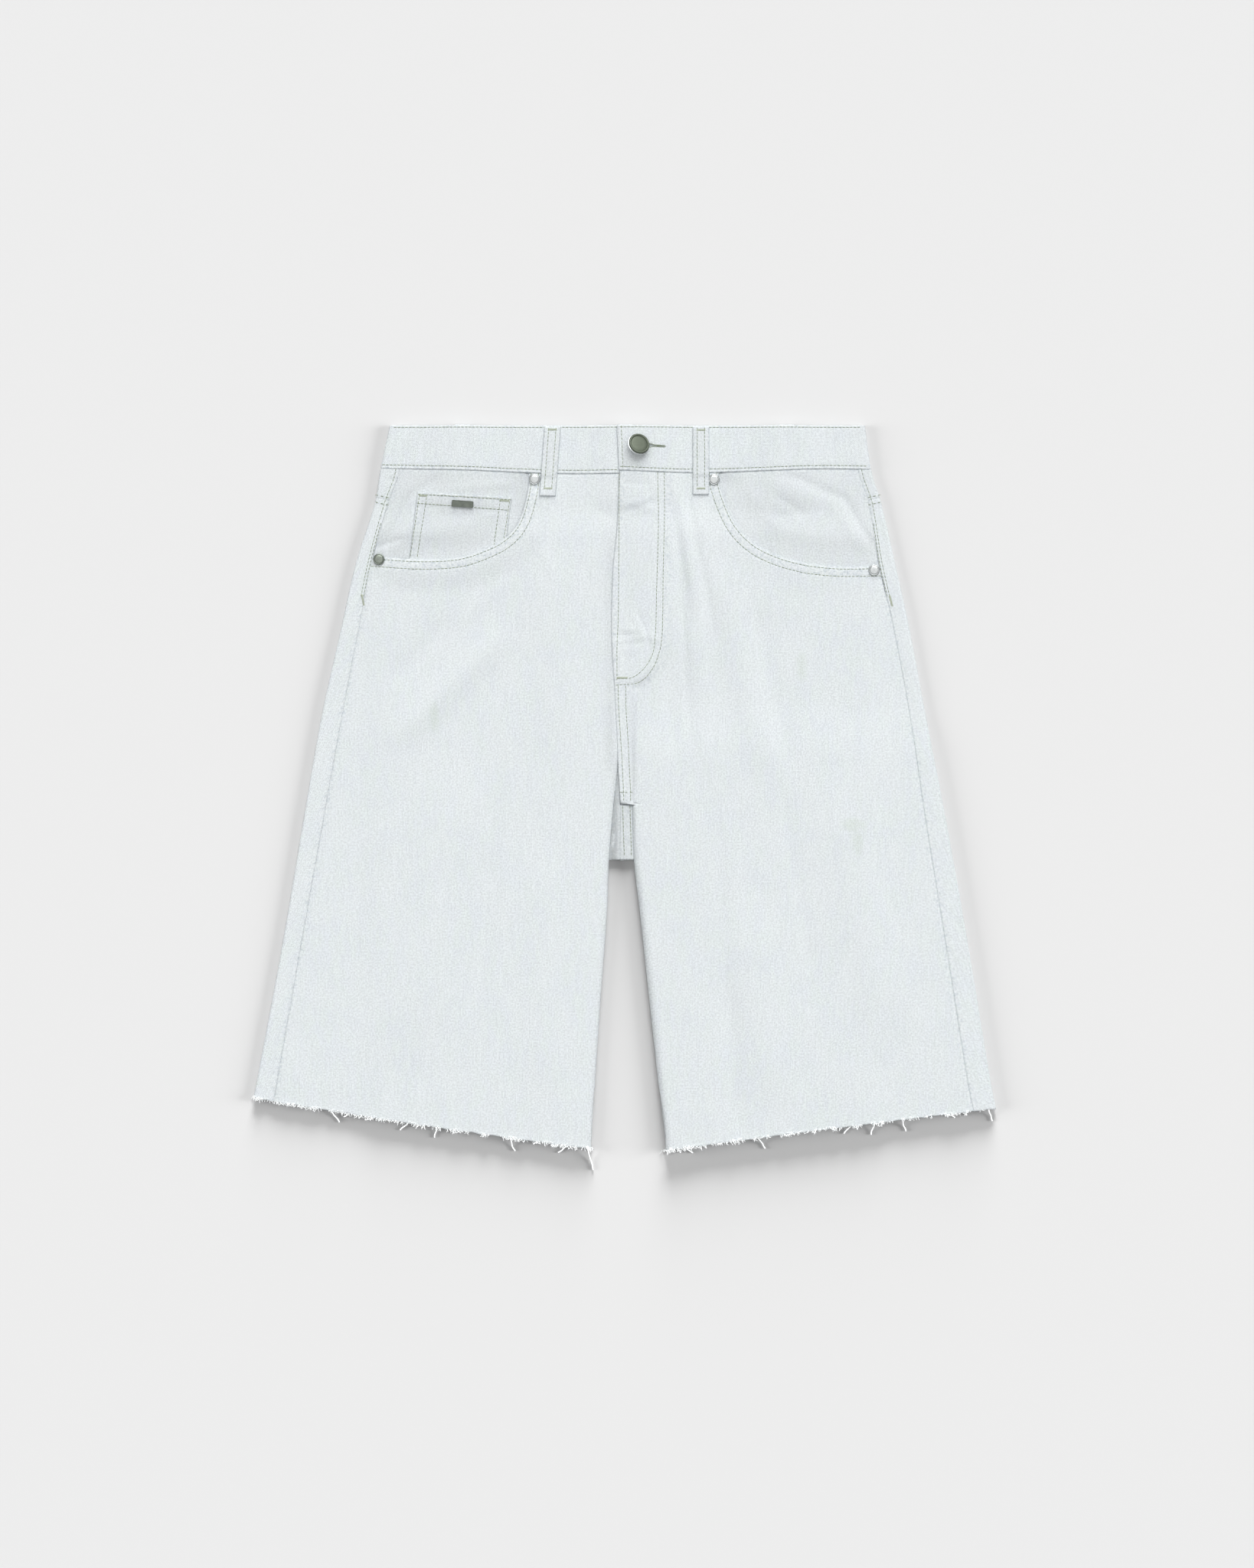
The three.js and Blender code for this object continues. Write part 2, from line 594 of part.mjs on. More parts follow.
// Waistband: one strip from the end under the lap, round the back, to the end of the flap
function waistband() {
  const depths = [0, 0.04, 0.5, 0.92, 1];
  const stations = [];
  const turnSteps = [0.2, 0.5, 0.8];
  const rightFront = [UNDERLAP_END, 8.5, -8.5, -28, -50, -75, -100, -116, -131, -149, -166, -184];
  for (const across of rightFront) stations.push({ side: right, face: 'front', across });
  stations.push({ side: right, face: 'front', end: true });
  for (const turn of turnSteps) stations.push({ side: right, face: 'turn', turn });
  stations.push({ side: right, face: 'back', end: true });
  for (const across of [-184, -166, -149, -131, -116, -90, -60, -28, -8.5]) {
    stations.push({ side: right, face: 'back', across });
  }
  for (const across of [8.5, 28, 60, 90, 116, 131, 149, 166, 184]) stations.push({ side: left, face: 'back', across });
  stations.push({ side: left, face: 'back', end: true });
  for (const turn of [...turnSteps].reverse()) stations.push({ side: left, face: 'turn', turn });
  stations.push({ side: left, face: 'front', end: true });
  for (const across of [184, 166, 149, 131, 116, 95, 75, 60, 50, 44, 38, 32, 20, 8.5]) {
    stations.push({ side: left, face: 'front', across });
  }
  stations.push({ side: left, face: 'front', flap: true });
  const grid = depths.map((share) => stations.map((station) => bandPoint(station, share)));
  const strip = toSolid(wall(grid, BAND));
  return toGeometry(strip.subtract(toSolid(buttonholeCut())));
}

function bandPoint({ side, face, across, end, turn, flap }, share) {
  const radius = (FRONT_LEVEL - BAND_BACK_LEVEL) / 2;
  const frontFoot = (a) => waistDown(side, a);
  let foot = BAND_DEPTH;
  if (face === 'front') foot = frontFoot(end ? side.hand * 205 : flap ? FLAP_FOOT : across);
  if (face === 'turn') foot = THREE.MathUtils.lerp(frontFoot(side.hand * 210), BAND_DEPTH, turn);
  const down = foot * share;
  const flatEnd = edgeOut(side, down) - BAND / 2 - radius;
  if (face === 'turn') {
    const angle = Math.PI * turn;
    const level = FRONT_LEVEL - radius * (1 - Math.cos(angle));
    const at = place(side.hand * (flatEnd + radius * Math.sin(angle)), down, level);
    return { at, out: new THREE.Vector3(side.hand * Math.sin(angle), 0, Math.cos(angle)) };
  }
  const stretch = (edgeOut(side, down) / edgeOut(side, 0) - 1) * smooth(150, 200, Math.abs(across));
  let x = end ? side.hand * flatEnd : across * (1 + stretch);
  if (flap) x = THREE.MathUtils.lerp(FLAP_TOP, FLAP_FOOT, share);
  if (face === 'back') {
    return { at: place(x, down, BAND_BACK_LEVEL + lift(x, down)), out: new THREE.Vector3(0, 0, -1) };
  }
  return onField((a, d) => bandLevel(side, a, d), x, down);
}

function extruded(shape, thick) {
  return new THREE.ExtrudeGeometry(shape, { depth: thick, bevelEnabled: false, curveSegments: 10 });
}

// Eyelet round the shank and slit towards the side, through the flap only
function buttonholeCut() {
  const underside = bandLevel(left, button.across, button.down) - BAND / 2;
  const eyelet = new THREE.Shape().absarc(0, 0, button.shank + buttonhole.clearance, 0, 2 * Math.PI);
  const slit = new THREE.Shape();
  slit.moveTo(0, -buttonhole.slit / 2);
  slit.lineTo(buttonhole.length, -buttonhole.slit / 2);
  slit.lineTo(buttonhole.length, buttonhole.slit / 2);
  slit.lineTo(0, buttonhole.slit / 2);
  const cutters = [eyelet, slit].map((shape) => {
    const geometry = extruded(shape, 2 * BAND);
    geometry.translate(button.across, -button.down, underside - SEAM_GAP / 2);
    return toSolid(geometry);
  });
  return toGeometry(cutters[0].add(cutters[1]));
}

function pocketFacing(side) {
  const tuck = 7;
  const middle = 0.55;
  const under = (t) => {
    const point = side.mouth.getPointAt(t);
    const tangent = side.mouth.getTangentAt(t);
    const across = point.x + side.hand * -tangent.y * tuck * (1 - smooth(0.9, 1, t));
    const down = point.y + side.hand * tangent.x * tuck * smooth(0, 0.1, t);
    return [across, Math.max(down, waistDown(side, across) + SEAM_GAP)];
  };
  const seam = (down) => side.hand * (seamOut(side, down) - SIDE_GAP);
  const waistStart = under(0)[0];
  const waistEnd = seam(waistDown(side, side.hand * 196));
  const top = (u) => {
    const across = THREE.MathUtils.lerp(waistStart, waistEnd, u);
    return [across, waistDown(side, across) + SEAM_GAP];
  };
  const last = under(1);
  const inner = (v) => (v === 0 ? top(0) : under(v * middle));
  const foot = (u) => (u === 1 ? [seam(last[1]), last[1]] : under(middle + u * (1 - middle)));
  const outer = (v) => {
    const down = THREE.MathUtils.lerp(top(1)[1], last[1], v);
    return [seam(down), down];
  };
  const steps = [0, 0.1, 0.2, 0.3, 0.4, 0.5, 0.6, 0.7, 0.8, 0.9, 1];
  return panelFromField(patch({ top, foot, inner, outer }, steps, steps), (a, d) => facingLevel(side, a, d), CLOTH);
}

function coinPocketPanel() {
  const { topOuter, topInner, footOuter, footInner, tuck } = coinPocket;
  const under = (across) => {
    const near = right.mouthPoints.reduce((best, point) => (
      Math.abs(point.x - across) < Math.abs(best.x - across) ? point : best));
    return near.y + tuck;
  };
  const top = (u) => lerpPoint(topInner, topOuter, u);
  const inner = (v) => lerpPoint(topInner, [footInner, under(footInner)], v);
  const outer = (v) => lerpPoint(topOuter, [footOuter, under(footOuter)], v);
  const foot = (u) => {
    const across = THREE.MathUtils.lerp(footInner, footOuter, u);
    return [across, under(across)];
  };
  const steps = [0, 0.125, 0.25, 0.375, 0.5, 0.625, 0.75, 0.875, 1];
  const field = (a, d) => facingLevel(right, a, d) + COIN_RISE;
  return panelFromField(patch({ top, foot, inner, outer }, steps, steps), field, CLOTH);
}

function coinPlateSolid() {
  const shape = new THREE.Shape();
  const [w, h] = [coinPlate.width / 2, coinPlate.height / 2];
  shape.moveTo(-w, -h);
  shape.lineTo(w, -h);
  shape.lineTo(w, h);
  shape.lineTo(-w, h);
  const plate = extruded(shape, coinPlate.thick);
  plate.rotateZ(THREE.MathUtils.degToRad(coinPlate.tilt));
  const ends = [-w, 0, w].flatMap((x) => [-h, h].map((y) => (
    facingLevel(right, coinPlate.across + x, coinPlate.down + y))));
  const level = Math.max(...ends) + COIN_RISE + CLOTH / 2 + SEAM_GAP;
  plate.translate(coinPlate.across, -coinPlate.down, level);
  return plate;
}

// Back patch pocket: straight top, slightly narrower foot, a blunt point
function backPatchPocket(side) {
  const { across, down, width, sideLength, pointDrop, taper, tilt } = backPocket;
  const turn = THREE.MathUtils.degToRad(tilt);
  const grid = [0, 0.2, 0.4, 0.6, 0.8, 1].map((v) => [-1, -0.66, -0.33, 0, 0.33, 0.66, 1].map((u) => {
    const x = u * (width / 2 - taper * v);
    const y = v * (sideLength + pointDrop * (1 - Math.abs(u)));
    const out = across + x * Math.cos(turn) + y * Math.sin(turn);
    const placeDown = down - x * Math.sin(turn) + y * Math.cos(turn);
    return { at: place(side.hand * out, placeDown, CLOTH / 2), out: new THREE.Vector3(0, 0, -1) };
  }));
  return wall(grid, CLOTH);
}

function frontLoop({ top, foot, from, to, width }, side) {
  const steps = [0, 0.06, 0.2, 0.35, 0.5, 0.6, 0.68, 0.76, 0.88, 1];
  const grid = steps.map((t) => [-1, 0, 1].map((u) => {
    const across = THREE.MathUtils.lerp(top, foot, t) + u * width / 2;
    const down = THREE.MathUtils.lerp(from, to, t);
    const bulge = 0.8 * Math.sin(Math.PI * t);
    const ground = Math.max(topOf(side, across, down), topOf(side, across, down - 1.5));
    return { at: place(across, down, ground + SEAM_GAP + LOOP / 2 + bulge + 0.12), out: new THREE.Vector3(0, 0, 1) };
  }));
  return wall(grid, LOOP);
}

function backLoop({ across }) {
  const grid = [-1, BACK_LOOP_LENGTH / 2, BACK_LOOP_LENGTH].map((down) => [-1, 1].map((u) => (
    { at: place(across + u * BACK_LOOP_WIDTH / 2, down, LOOP / 2), out: new THREE.Vector3(0, 0, -1) })));
  return wall(grid, LOOP);
}

// Solid of revolution about the upright axis from a half profile of [radius, height]
function turned(profile, segments) {
  const geometry = new THREE.LatheGeometry(profile.map(([r, h]) => new THREE.Vector2(r, h)), segments);
  geometry.rotateX(Math.PI / 2);
  return geometry;
}

function buttonSolid() {
  const { radius, thick, tilt, towards, across, down, shank } = button;
  const head = turned([
    [0, 0], [radius - 1.2, 0], [radius, 1.0], [radius, thick - 0.8], [radius - 0.8, thick],
    [radius - 2.2, thick], [radius - 2.8, thick - 0.6], [0, thick - 0.6],
  ], 28);
  head.translate(0, 0, -thick / 2);
  head.rotateY(THREE.MathUtils.degToRad(tilt));
  head.rotateZ(THREE.MathUtils.degToRad(towards));
  const flapTop = bandLevel(left, across, down) + BAND / 2;
  const reach = radius * Math.sin(THREE.MathUtils.degToRad(tilt)) + thick / 2;
  const centre = flapTop + SEAM_GAP + reach;
  head.translate(across, -down, centre);
  const underlapTop = bandLevel(right, across, down) + BAND / 2;
  const stem = new THREE.CylinderGeometry(shank, shank, centre - underlapTop - SEAM_GAP, 16);
  stem.rotateX(Math.PI / 2);
  stem.translate(across, -down, (centre + underlapTop + SEAM_GAP) / 2);
  return toGeometry(toSolid(head).add(toSolid(stem)));
}

function rivetSolid({ across, down }) {
  const side = across < 0 ? right : left;
  const spread = [0, 1, 2, 3, 4, 5, 6, 7].map((k) => k * Math.PI / 4);
  const ground = Math.max(...spread.map((angle) => topOf(
    side,
    across + RIVET_RADIUS * Math.cos(angle),
    down + RIVET_RADIUS * Math.sin(angle),
  )));
  const dome = turned([
    [0, 0], [RIVET_RADIUS - 0.4, 0], [RIVET_RADIUS, 0.4], [RIVET_RADIUS * 0.9, RIVET_HEIGHT * 0.6],
    [RIVET_RADIUS * 0.62, RIVET_HEIGHT * 0.88], [RIVET_RADIUS * 0.3, RIVET_HEIGHT], [0, RIVET_HEIGHT],
  ], 14);
  dome.translate(across, -down, ground + SEAM_GAP);
  return dome;
}

// Long loose threads of the hems: where they start, and the run of their tip
const longThreads = {
  right: [
    { across: -253.3, run: [7.1, 10.1] }, { across: -236.1, run: [-6, 2.6] }, { across: -213.9, run: [-9.5, 2.4] },
    { across: -185.6, run: [-7.7, 6.3] }, { across: -161.4, run: [-2.6, 9] }, { across: -98.7, run: [4, 12.2] },
    { across: -70.5, run: [-8.6, 1.8] }, { across: -47.3, run: [-9.7, 5.7] }, { across: -31.5, run: [5, 19.5] },
  ],
  left: [
    { across: 39.3, run: [-2.6, 4.6] }, { across: 44.6, run: [4.2, 3.8] }, { across: 50.9, run: [8.8, 5.3] },
    { across: 115.1, run: [6.9, 9.5] }, { across: 196.1, run: [-6.7, 6.9] }, { across: 216.1, run: [-3.6, 10.9] },
    { across: 239.6, run: [3.2, 10.3] }, { across: 279.2, run: [6.3, 3.1] }, { across: 290, run: [6.3, 2.7] },
    { across: 313.9, run: [4.2, 10.4] },
  ],
};

// A number between 0 and 1 that looks random but is the same every time
function scatter(seed) {
  const value = Math.sin(seed * 127.1 + 11.7) * 43758.5453;
  return value - Math.floor(value);
}

// The frayed edge: a narrow strip beside the hem, with strands grown out of its outer face
function fringe(side, face) {
  const step = face === 'front' ? 7.6 : 11.5;
  const halfRoot = 0.45;
  const level = (across, down) => (face === 'front' ? rolledLevel(side, across, down) : BACK_LEVEL);
  const innerEnd = side.hand * inseamAcross(side, 622) + 1.0;
  const outerEnd = edgeOut(side, hemDown(side, side.hand * 320)) - 5.5;
  const strands = [];
  const longs = face === 'front' ? longThreads[side.name] : [];
  for (const { across, run } of longs) strands.push({ out: side.hand * across, run });
  for (let out = innerEnd + 3; out < outerEnd - 3; out += step) {
    const here = out + (scatter(out + 3 * side.hand) - 0.5) * step * 0.5;
    const length = 1.4 + 2.6 * scatter(out * 1.7) ** 2;
    if (strands.every((other) => Math.abs(other.out - here) > 2)) {
      strands.push({ out: here, run: [(scatter(out * 2.3) - 0.5) * 3, length] });
    }
  }
  strands.sort((a, b) => a.out - b.out);
  const cuts = [{ out: innerEnd }];
  for (const strand of strands) cuts.push({ out: strand.out - halfRoot, strand }, { out: strand.out + halfRoot });
  cuts.push({ out: outerEnd });

  const positions = [];
  const faces = [];
  const add = (across, down, z) => {
    positions.push(across, -down, Math.max(z, 0));
    return positions.length / 3 - 1;
  };
  const quad = (a, b, c, d) => faces.push(a, b, c, a, c, d);
  const half = CLOTH / 2;
  const rings = cuts.map(({ out }) => {
    const across = side.hand * out;
    const down = hemDown(side, across);
    const z = level(across, down);
    return [
      add(across, down - HEM_STRIP, z + half), add(across, down - HEM_STRIP, z - half),
      add(across, down, z - half), add(across, down, z + half),
    ];
  });
  quad(rings[0][0], rings[0][1], rings[0][2], rings[0][3]);
  const end = rings[rings.length - 1];
  quad(end[3], end[2], end[1], end[0]);
  cuts.slice(0, -1).forEach((cut, k) => {
    const a = rings[k];
    const b = rings[k + 1];
    quad(a[0], b[0], b[1], a[1]);
    quad(a[1], b[1], b[2], a[2]);
    quad(a[3], b[3], b[0], a[0]);
    if (!cut.strand) {
      quad(a[2], b[2], b[3], a[3]);
      return;
    }
    // The strand is a tapered tube of four sides that sinks towards the surface it lies on
    const { out, run } = cut.strand;
    const root = side.hand * out;
    const rootDown = hemDown(side, root);
    const rootLevel = level(root, rootDown);
    const long = Math.hypot(...run) > 6;
    const restLevel = face === 'front' && !long ? rootLevel - 1.2 : BACK_LEVEL;
    let ring = [a[2], b[2], b[3], a[3]];
    for (const t of long ? [0.35, 0.7, 1] : [1]) {
      const thin = 0.42 * (1 - 0.4 * t);
      const x = root + run[0] * t ** 1.3;
      const down = rootDown + run[1] * t + thin;
      const z = Math.max(THREE.MathUtils.lerp(rootLevel, restLevel, smooth(0, 0.8, t)), thin + 0.15);
      const w = side.hand * thin;
      const next = [
        add(x - w, down, z - thin), add(x + w, down, z - thin), add(x + w, down, z + thin), add(x - w, down, z + thin),
      ];
      for (let j = 0; j < 4; j += 1) {
        const n = (j + 1) % 4;
        quad(ring[j], ring[n], next[n], next[j]);
      }
      ring = next;
    }
    quad(...ring);
  });
  return facingOut(positions, faces);
}

// The shorts
const shorts = new THREE.Group();

function addPiece(name, geometry, look) {
  const bare = geometry.index ? geometry : mergeVertices(geometry);
  bare.computeVertexNormals();
  const mesh = new THREE.Mesh(bare, new THREE.MeshStandardMaterial(looks[look]));
  mesh.name = name;
  shorts.add(mesh);
}

for (const side of sides) {
  addPiece('front_' + side.name, frontPanel(side), 'denim');
  addPiece('back_' + side.name, backPanel(side), 'denim');
  addPiece('yoke_' + side.name, backYoke(side), 'denim');
  addPiece('facing_' + side.name, pocketFacing(side), 'denim');
  addPiece('back_pocket_' + side.name, backPatchPocket(side), 'denim');
  addPiece('fringe_front_' + side.name, fringe(side, 'front'), 'denim');
  addPiece('fringe_back_' + side.name, fringe(side, 'back'), 'denim');
}
addPiece('waistband', waistband(), 'denim');
addPiece('coin_pocket', coinPocketPanel(), 'denim');
addPiece('coin_plate', coinPlateSolid(), 'gunmetal');
frontLoops.forEach((loop, k) => addPiece(loop.name, frontLoop(loop, sides[k]), 'denim'));
for (const loop of backLoops) addPiece(loop.name, backLoop(loop), 'denim');
addPiece('button', buttonSolid(), 'steel');
for (const rivet of rivets) addPiece(rivet.name, rivetSolid(rivet), 'steel');

// The origin is under the middle of the whole, on the surface it lies on
const box = new THREE.Box3().setFromObject(shorts);
const middle = box.getCenter(new THREE.Vector3());
shorts.position.set(-middle.x, -middle.y, -box.min.z);

export default shorts;
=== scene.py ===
# %% [markdown]
# # Pale denim shorts, laid on their back
# Baggy bleached shorts lie on a pale table, front side up, with raw frayed hems. The solids of
# the frame already have the right sizes, but they are coarse and plain. Here every cloth piece
# is drawn again as a finer shell on the same form, and then gets its sewing, its metal and its
# frayed yarn.

# %% Frame
import json
import math
from collections import namedtuple

import bmesh
import bpy
import numpy as np
from mathutils import Matrix, Vector

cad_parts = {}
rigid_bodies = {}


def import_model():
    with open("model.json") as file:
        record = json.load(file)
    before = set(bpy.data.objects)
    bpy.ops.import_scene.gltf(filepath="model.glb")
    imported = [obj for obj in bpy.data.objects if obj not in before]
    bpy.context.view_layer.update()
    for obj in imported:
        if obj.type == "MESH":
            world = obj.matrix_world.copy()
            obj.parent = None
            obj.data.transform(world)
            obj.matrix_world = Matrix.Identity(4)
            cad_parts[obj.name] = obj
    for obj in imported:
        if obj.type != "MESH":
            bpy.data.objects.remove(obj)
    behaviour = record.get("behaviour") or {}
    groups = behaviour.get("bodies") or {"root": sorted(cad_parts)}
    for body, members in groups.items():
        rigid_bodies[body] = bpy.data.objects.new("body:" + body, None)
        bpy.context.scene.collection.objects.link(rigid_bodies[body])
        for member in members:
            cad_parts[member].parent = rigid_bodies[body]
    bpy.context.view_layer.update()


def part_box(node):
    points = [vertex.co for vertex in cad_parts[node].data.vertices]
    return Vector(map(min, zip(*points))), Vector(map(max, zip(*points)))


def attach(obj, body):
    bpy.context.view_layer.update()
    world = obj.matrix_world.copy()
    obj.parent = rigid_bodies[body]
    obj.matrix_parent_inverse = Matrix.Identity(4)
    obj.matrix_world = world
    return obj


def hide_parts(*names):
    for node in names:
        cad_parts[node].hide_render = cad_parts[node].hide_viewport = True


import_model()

# %% [markdown]
# ## Where things are
# A pattern maker measures from the top edge of the waistband and from the centre line. The same
# two numbers place everything here: `across` runs to the right as seen from above, `down` runs
# from the waist to the hems, and `level` is a height over the table. All three are millimetres.
# Two solids of the frame say where that centre line and that top edge are.

# %% Millimetres of the pattern to metres of the frame
MM = 0.001
back_loop_low, back_loop_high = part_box("loop_back_centre")
CENTRE_X = (back_loop_low.x + back_loop_high.x) / 2
WAIST_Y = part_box("waistband")[1].y


def place(across, down, level):
    """Points of the frame, in metres, from places on the pattern, in millimetres."""
    across, down, level = np.broadcast_arrays(across, down, level)
    return np.stack([across * MM + CENTRE_X, WAIST_Y - down * MM, level * MM], axis=-1)


print("centre line at x =", round(CENTRE_X, 4), "top of the waist at y =", round(WAIST_Y, 4))

# %% [markdown]
# ## Curves through a few measured points
# A cutter's curve is known from a handful of measured points. `column` runs a smooth curve
# through one column of a table, and `smooth_path` runs one through points of the plan. A soft
# step, `smooth`, is what lets one level pass into the next without an edge.

# %% Drafting helpers
def table(names, *rows):
    """A table with named columns, as one array for each name."""
    return dict(zip(names.split(), np.array(rows, float).T))


def smooth(start, end, x):
    t = np.clip((np.asarray(x, float) - start) / (end - start), 0, 1)
    return t * t * (3 - 2 * t)


def mix(a, b, t):
    return a + (b - a) * t


def column(rows, key, name, at):
    """A smooth curve through one column, at values of the key column."""
    keys, values = rows[key], rows[name]
    last = len(keys) - 1
    before, after = np.maximum(np.arange(last + 1) - 1, 0), np.minimum(np.arange(last + 1) + 1, last)
    slopes = (values[after] - values[before]) / (keys[after] - keys[before])
    at = np.asarray(at, float)
    i = np.clip(np.searchsorted(keys, at, side="right") - 1, 0, last - 1)
    run = keys[i + 1] - keys[i]
    t = np.clip((at - keys[i]) / run, 0, 1)
    ends = values[i] * (2 * t**3 - 3 * t**2 + 1) + values[i + 1] * (3 * t**2 - 2 * t**3)
    return ends + run * (slopes[i] * (t**3 - 2 * t**2 + t) + slopes[i + 1] * (t**3 - t**2))


def smooth_path(points, step=0.5):
    """Evenly spaced points, `step` apart, on a smooth curve through a few points."""
    points = np.array(points, float)
    ends = [2 * points[0] - points[1], 2 * points[-1] - points[-2]]
    ring = np.vstack([ends[:1], points, ends[1:]])
    knots = np.sqrt(np.linalg.norm(np.diff(ring, axis=0), axis=1))
    pieces = []
    for k in range(1, len(ring) - 2):
        a, b, c, d = ring[k - 1:k + 3]
        ka, kb, kc = knots[k - 1:k + 2]
        start = kb * ((b - a) / ka - (c - a) / (ka + kb) + (c - b) / kb)
        end = kb * ((c - b) / kb - (d - b) / (kb + kc) + (d - c) / kc)
        t = np.linspace(0, 1, 40, endpoint=False)[:, None]
        hold_b, hold_c = 2 * t**3 - 3 * t**2 + 1, 3 * t**2 - 2 * t**3
        pieces.append(b * hold_b + c * hold_c + start * (t**3 - 2 * t**2 + t) + end * (t**3 - t**2))
    dense = np.vstack(pieces + [points[-1:]])
    return even(dense, step)


def even(points, step):
    """The same line, resampled so that its points are about `step` apart."""
    lengths = np.concatenate([[0], np.cumsum(np.linalg.norm(np.diff(points, axis=0), axis=1))])
    count = max(2, int(round(lengths[-1] / step)) + 1)
    at = np.linspace(0, lengths[-1], count)
    return np.stack([np.interp(at, lengths, points[:, k]) for k in range(points.shape[1])], axis=1)


def at_share(path, share):
    """Points of an even path at shares 0 to 1 of its length."""
    spots = np.asarray(share, float) * (len(path) - 1)
    return np.stack([np.interp(spots, np.arange(len(path)), path[:, k]) for k in range(2)], axis=-1)


def tangents(path):
    step = np.gradient(path, axis=0)
    return step / np.linalg.norm(step, axis=1, keepdims=True)


def offset(path, distance):
    """A line beside a path. A positive distance is on its left as `down` grows downwards."""
    along = tangents(path)
    return path + distance * np.stack([along[:, 1], -along[:, 0]], axis=1)


def ripple(across, down, wavelength, seed, stretch=(1, 1)):
    """Soft random waves between about -1 and 1, the same on every run."""
    random = np.random.default_rng(seed)
    total = np.zeros(np.broadcast(across, down).shape)
    waves = 18
    for _ in range(waves):
        turn = random.uniform(0, 2 * math.pi)
        number = 2 * math.pi / (wavelength * random.uniform(0.7, 1.5))
        phase = random.uniform(0, 2 * math.pi)
        total += np.cos(number * (across / stretch[0] * math.cos(turn) + down / stretch[1] * math.sin(turn)) + phase)
    return total / math.sqrt(waves) / 1.4


# %% [markdown]
# ## The measured sizes
# These are the sizes of the solids, repeated, because this script reads nothing but the frame.
# The wearer's right side is the one on the left of the picture. Each table has named columns.

# %% Cloth, edges and seams
CLOTH = 1.2            # one layer of denim
SEAM_GAP = 0.3         # between pieces that are sewn together
SIDE_GAP = 0.45
LAYER = CLOTH + SEAM_GAP
BAND = 2 * CLOTH       # the waistband is folded
LOOP = 1.8
BACK_LEVEL = CLOTH / 2
FRONT_LEVEL = 3.9
BAND_BACK_LEVEL = BAND / 2
BAND_DEPTH = 37
YOKE_AT_EDGE = 62
YOKE_SLOPE = 0.22
CROTCH_DOWN = 325
CROTCH_FOLD_DOWN = 374.5
FLY_DOWN = 225
FLY_WIDTH = 42
UNDERLAP_END = 28
FLAP_TOP = -6.3
FLAP_FOOT = -4.4
LAP_RISE = BAND + SEAM_GAP

Side = namedtuple("Side", "name hand")
RIGHT = Side("right", -1)
LEFT = Side("left", 1)
SIDES = (RIGHT, LEFT)

OUTER_EDGE = table(
    "down right_edge right_wrap left_edge left_wrap",
    (0, 202.6, 11, 207.6, 9),
    (40, 210.9, 16, 213.5, 11),
    (66, 215.2, 11.2, 221.5, 10.5),
    (119, 231.8, 13.2, 233.8, 14),
    (172, 243.9, 15, 245.5, 13.5),
    (251, 261.5, 17.5, 260.4, 13.8),
    (343, 277.5, 17, 278.2, 17.8),
    (449, 295.5, 16, 296.9, 19.3),
    (568, 317.8, 17.4, 316.5, 19.9),
    (592, 322.6, 18, 321.4, 20),
)
RISE_EDGE = table(
    "down right left",
    (36, 5, -3.4), (90, 5, -6), (125, 5, -9.4), (180, 4.5, -10.6), (220, 3.5, -8.4),
    (268, 1, -6), (291, -5, -5), (312, -7.9, -3.8), (325, -9.6, -3),
)
INNER_LEG = table(
    "down right left",
    (325, -9.6, 6.9), (372, -13.6, 8.5), (422, -15.6, 14.2), (502, -21.5, 22.8), (581, -26.7, 31.4), (625, -29.1, 36.3),
)
WAIST_SEAM = {
    "right": table("across down", (-215, 36.3), (-132, 38.3), (-84, 40.3), (-46, 41.2), (30, 40.6)),
    "left": table("across down", (-10, 38.2), (59, 40.3), (119, 38.8), (170, 37.1), (218, 37.8)),
}
HEM = {
    "right": {"inner": (-29, 623.2), "outer": (-320.6, 579.2), "bow": 1.6},
    "left": {"inner": (36.2, 624.4), "outer": (320.7, 588.7), "bow": -0.8},
}
MOUTH = {
    "right": smooth_path([
        (-82.2, 41), (-82.9, 55), (-91.8, 84.5), (-104.2, 98.2),
        (-123.2, 107.8), (-141.9, 113.5), (-173.4, 115.6), (-217.8, 112.9),
    ]),
    "left": smooth_path([
        (81.4, 41), (82.4, 51.5), (95.9, 85), (111, 101.1),
        (127.9, 110.4), (153.6, 118.1), (184, 121.6), (222, 121.2),
    ]),
}
print("pocket mouths in mm:", {name: round(0.5 * (len(path) - 1)) for name, path in MOUTH.items()})

# %% Folds and what lies below the cloth
FOLDS = table(
    "across down long wide height turn",
    (58, 140, 150, 11, 2.2, -2),
    (47, 210, 150, 8, -1.0, -6),
    (100, 200, 190, 15, 1.8, 12),
    (128, 225, 150, 10, -1.0, 14),
    (92, 540, 130, 9, -1.2, 4),
    (118, 500, 160, 20, 1.6, 6),
    (205, 420, 210, 24, 1.7, 14),
    (-150, 225, 130, 13, 1.8, -46),
    (-175, 195, 70, 8, -1.1, -40),
    (-165, 420, 230, 28, 1.8, -10),
    (-70, 470, 180, 18, 1.3, -3),
    (-60, 190, 160, 22, 1.3, 2),
    (18, 70, 26, 3, 0.7, 74),
    (16, 180, 34, 3.5, 0.8, 70),
)
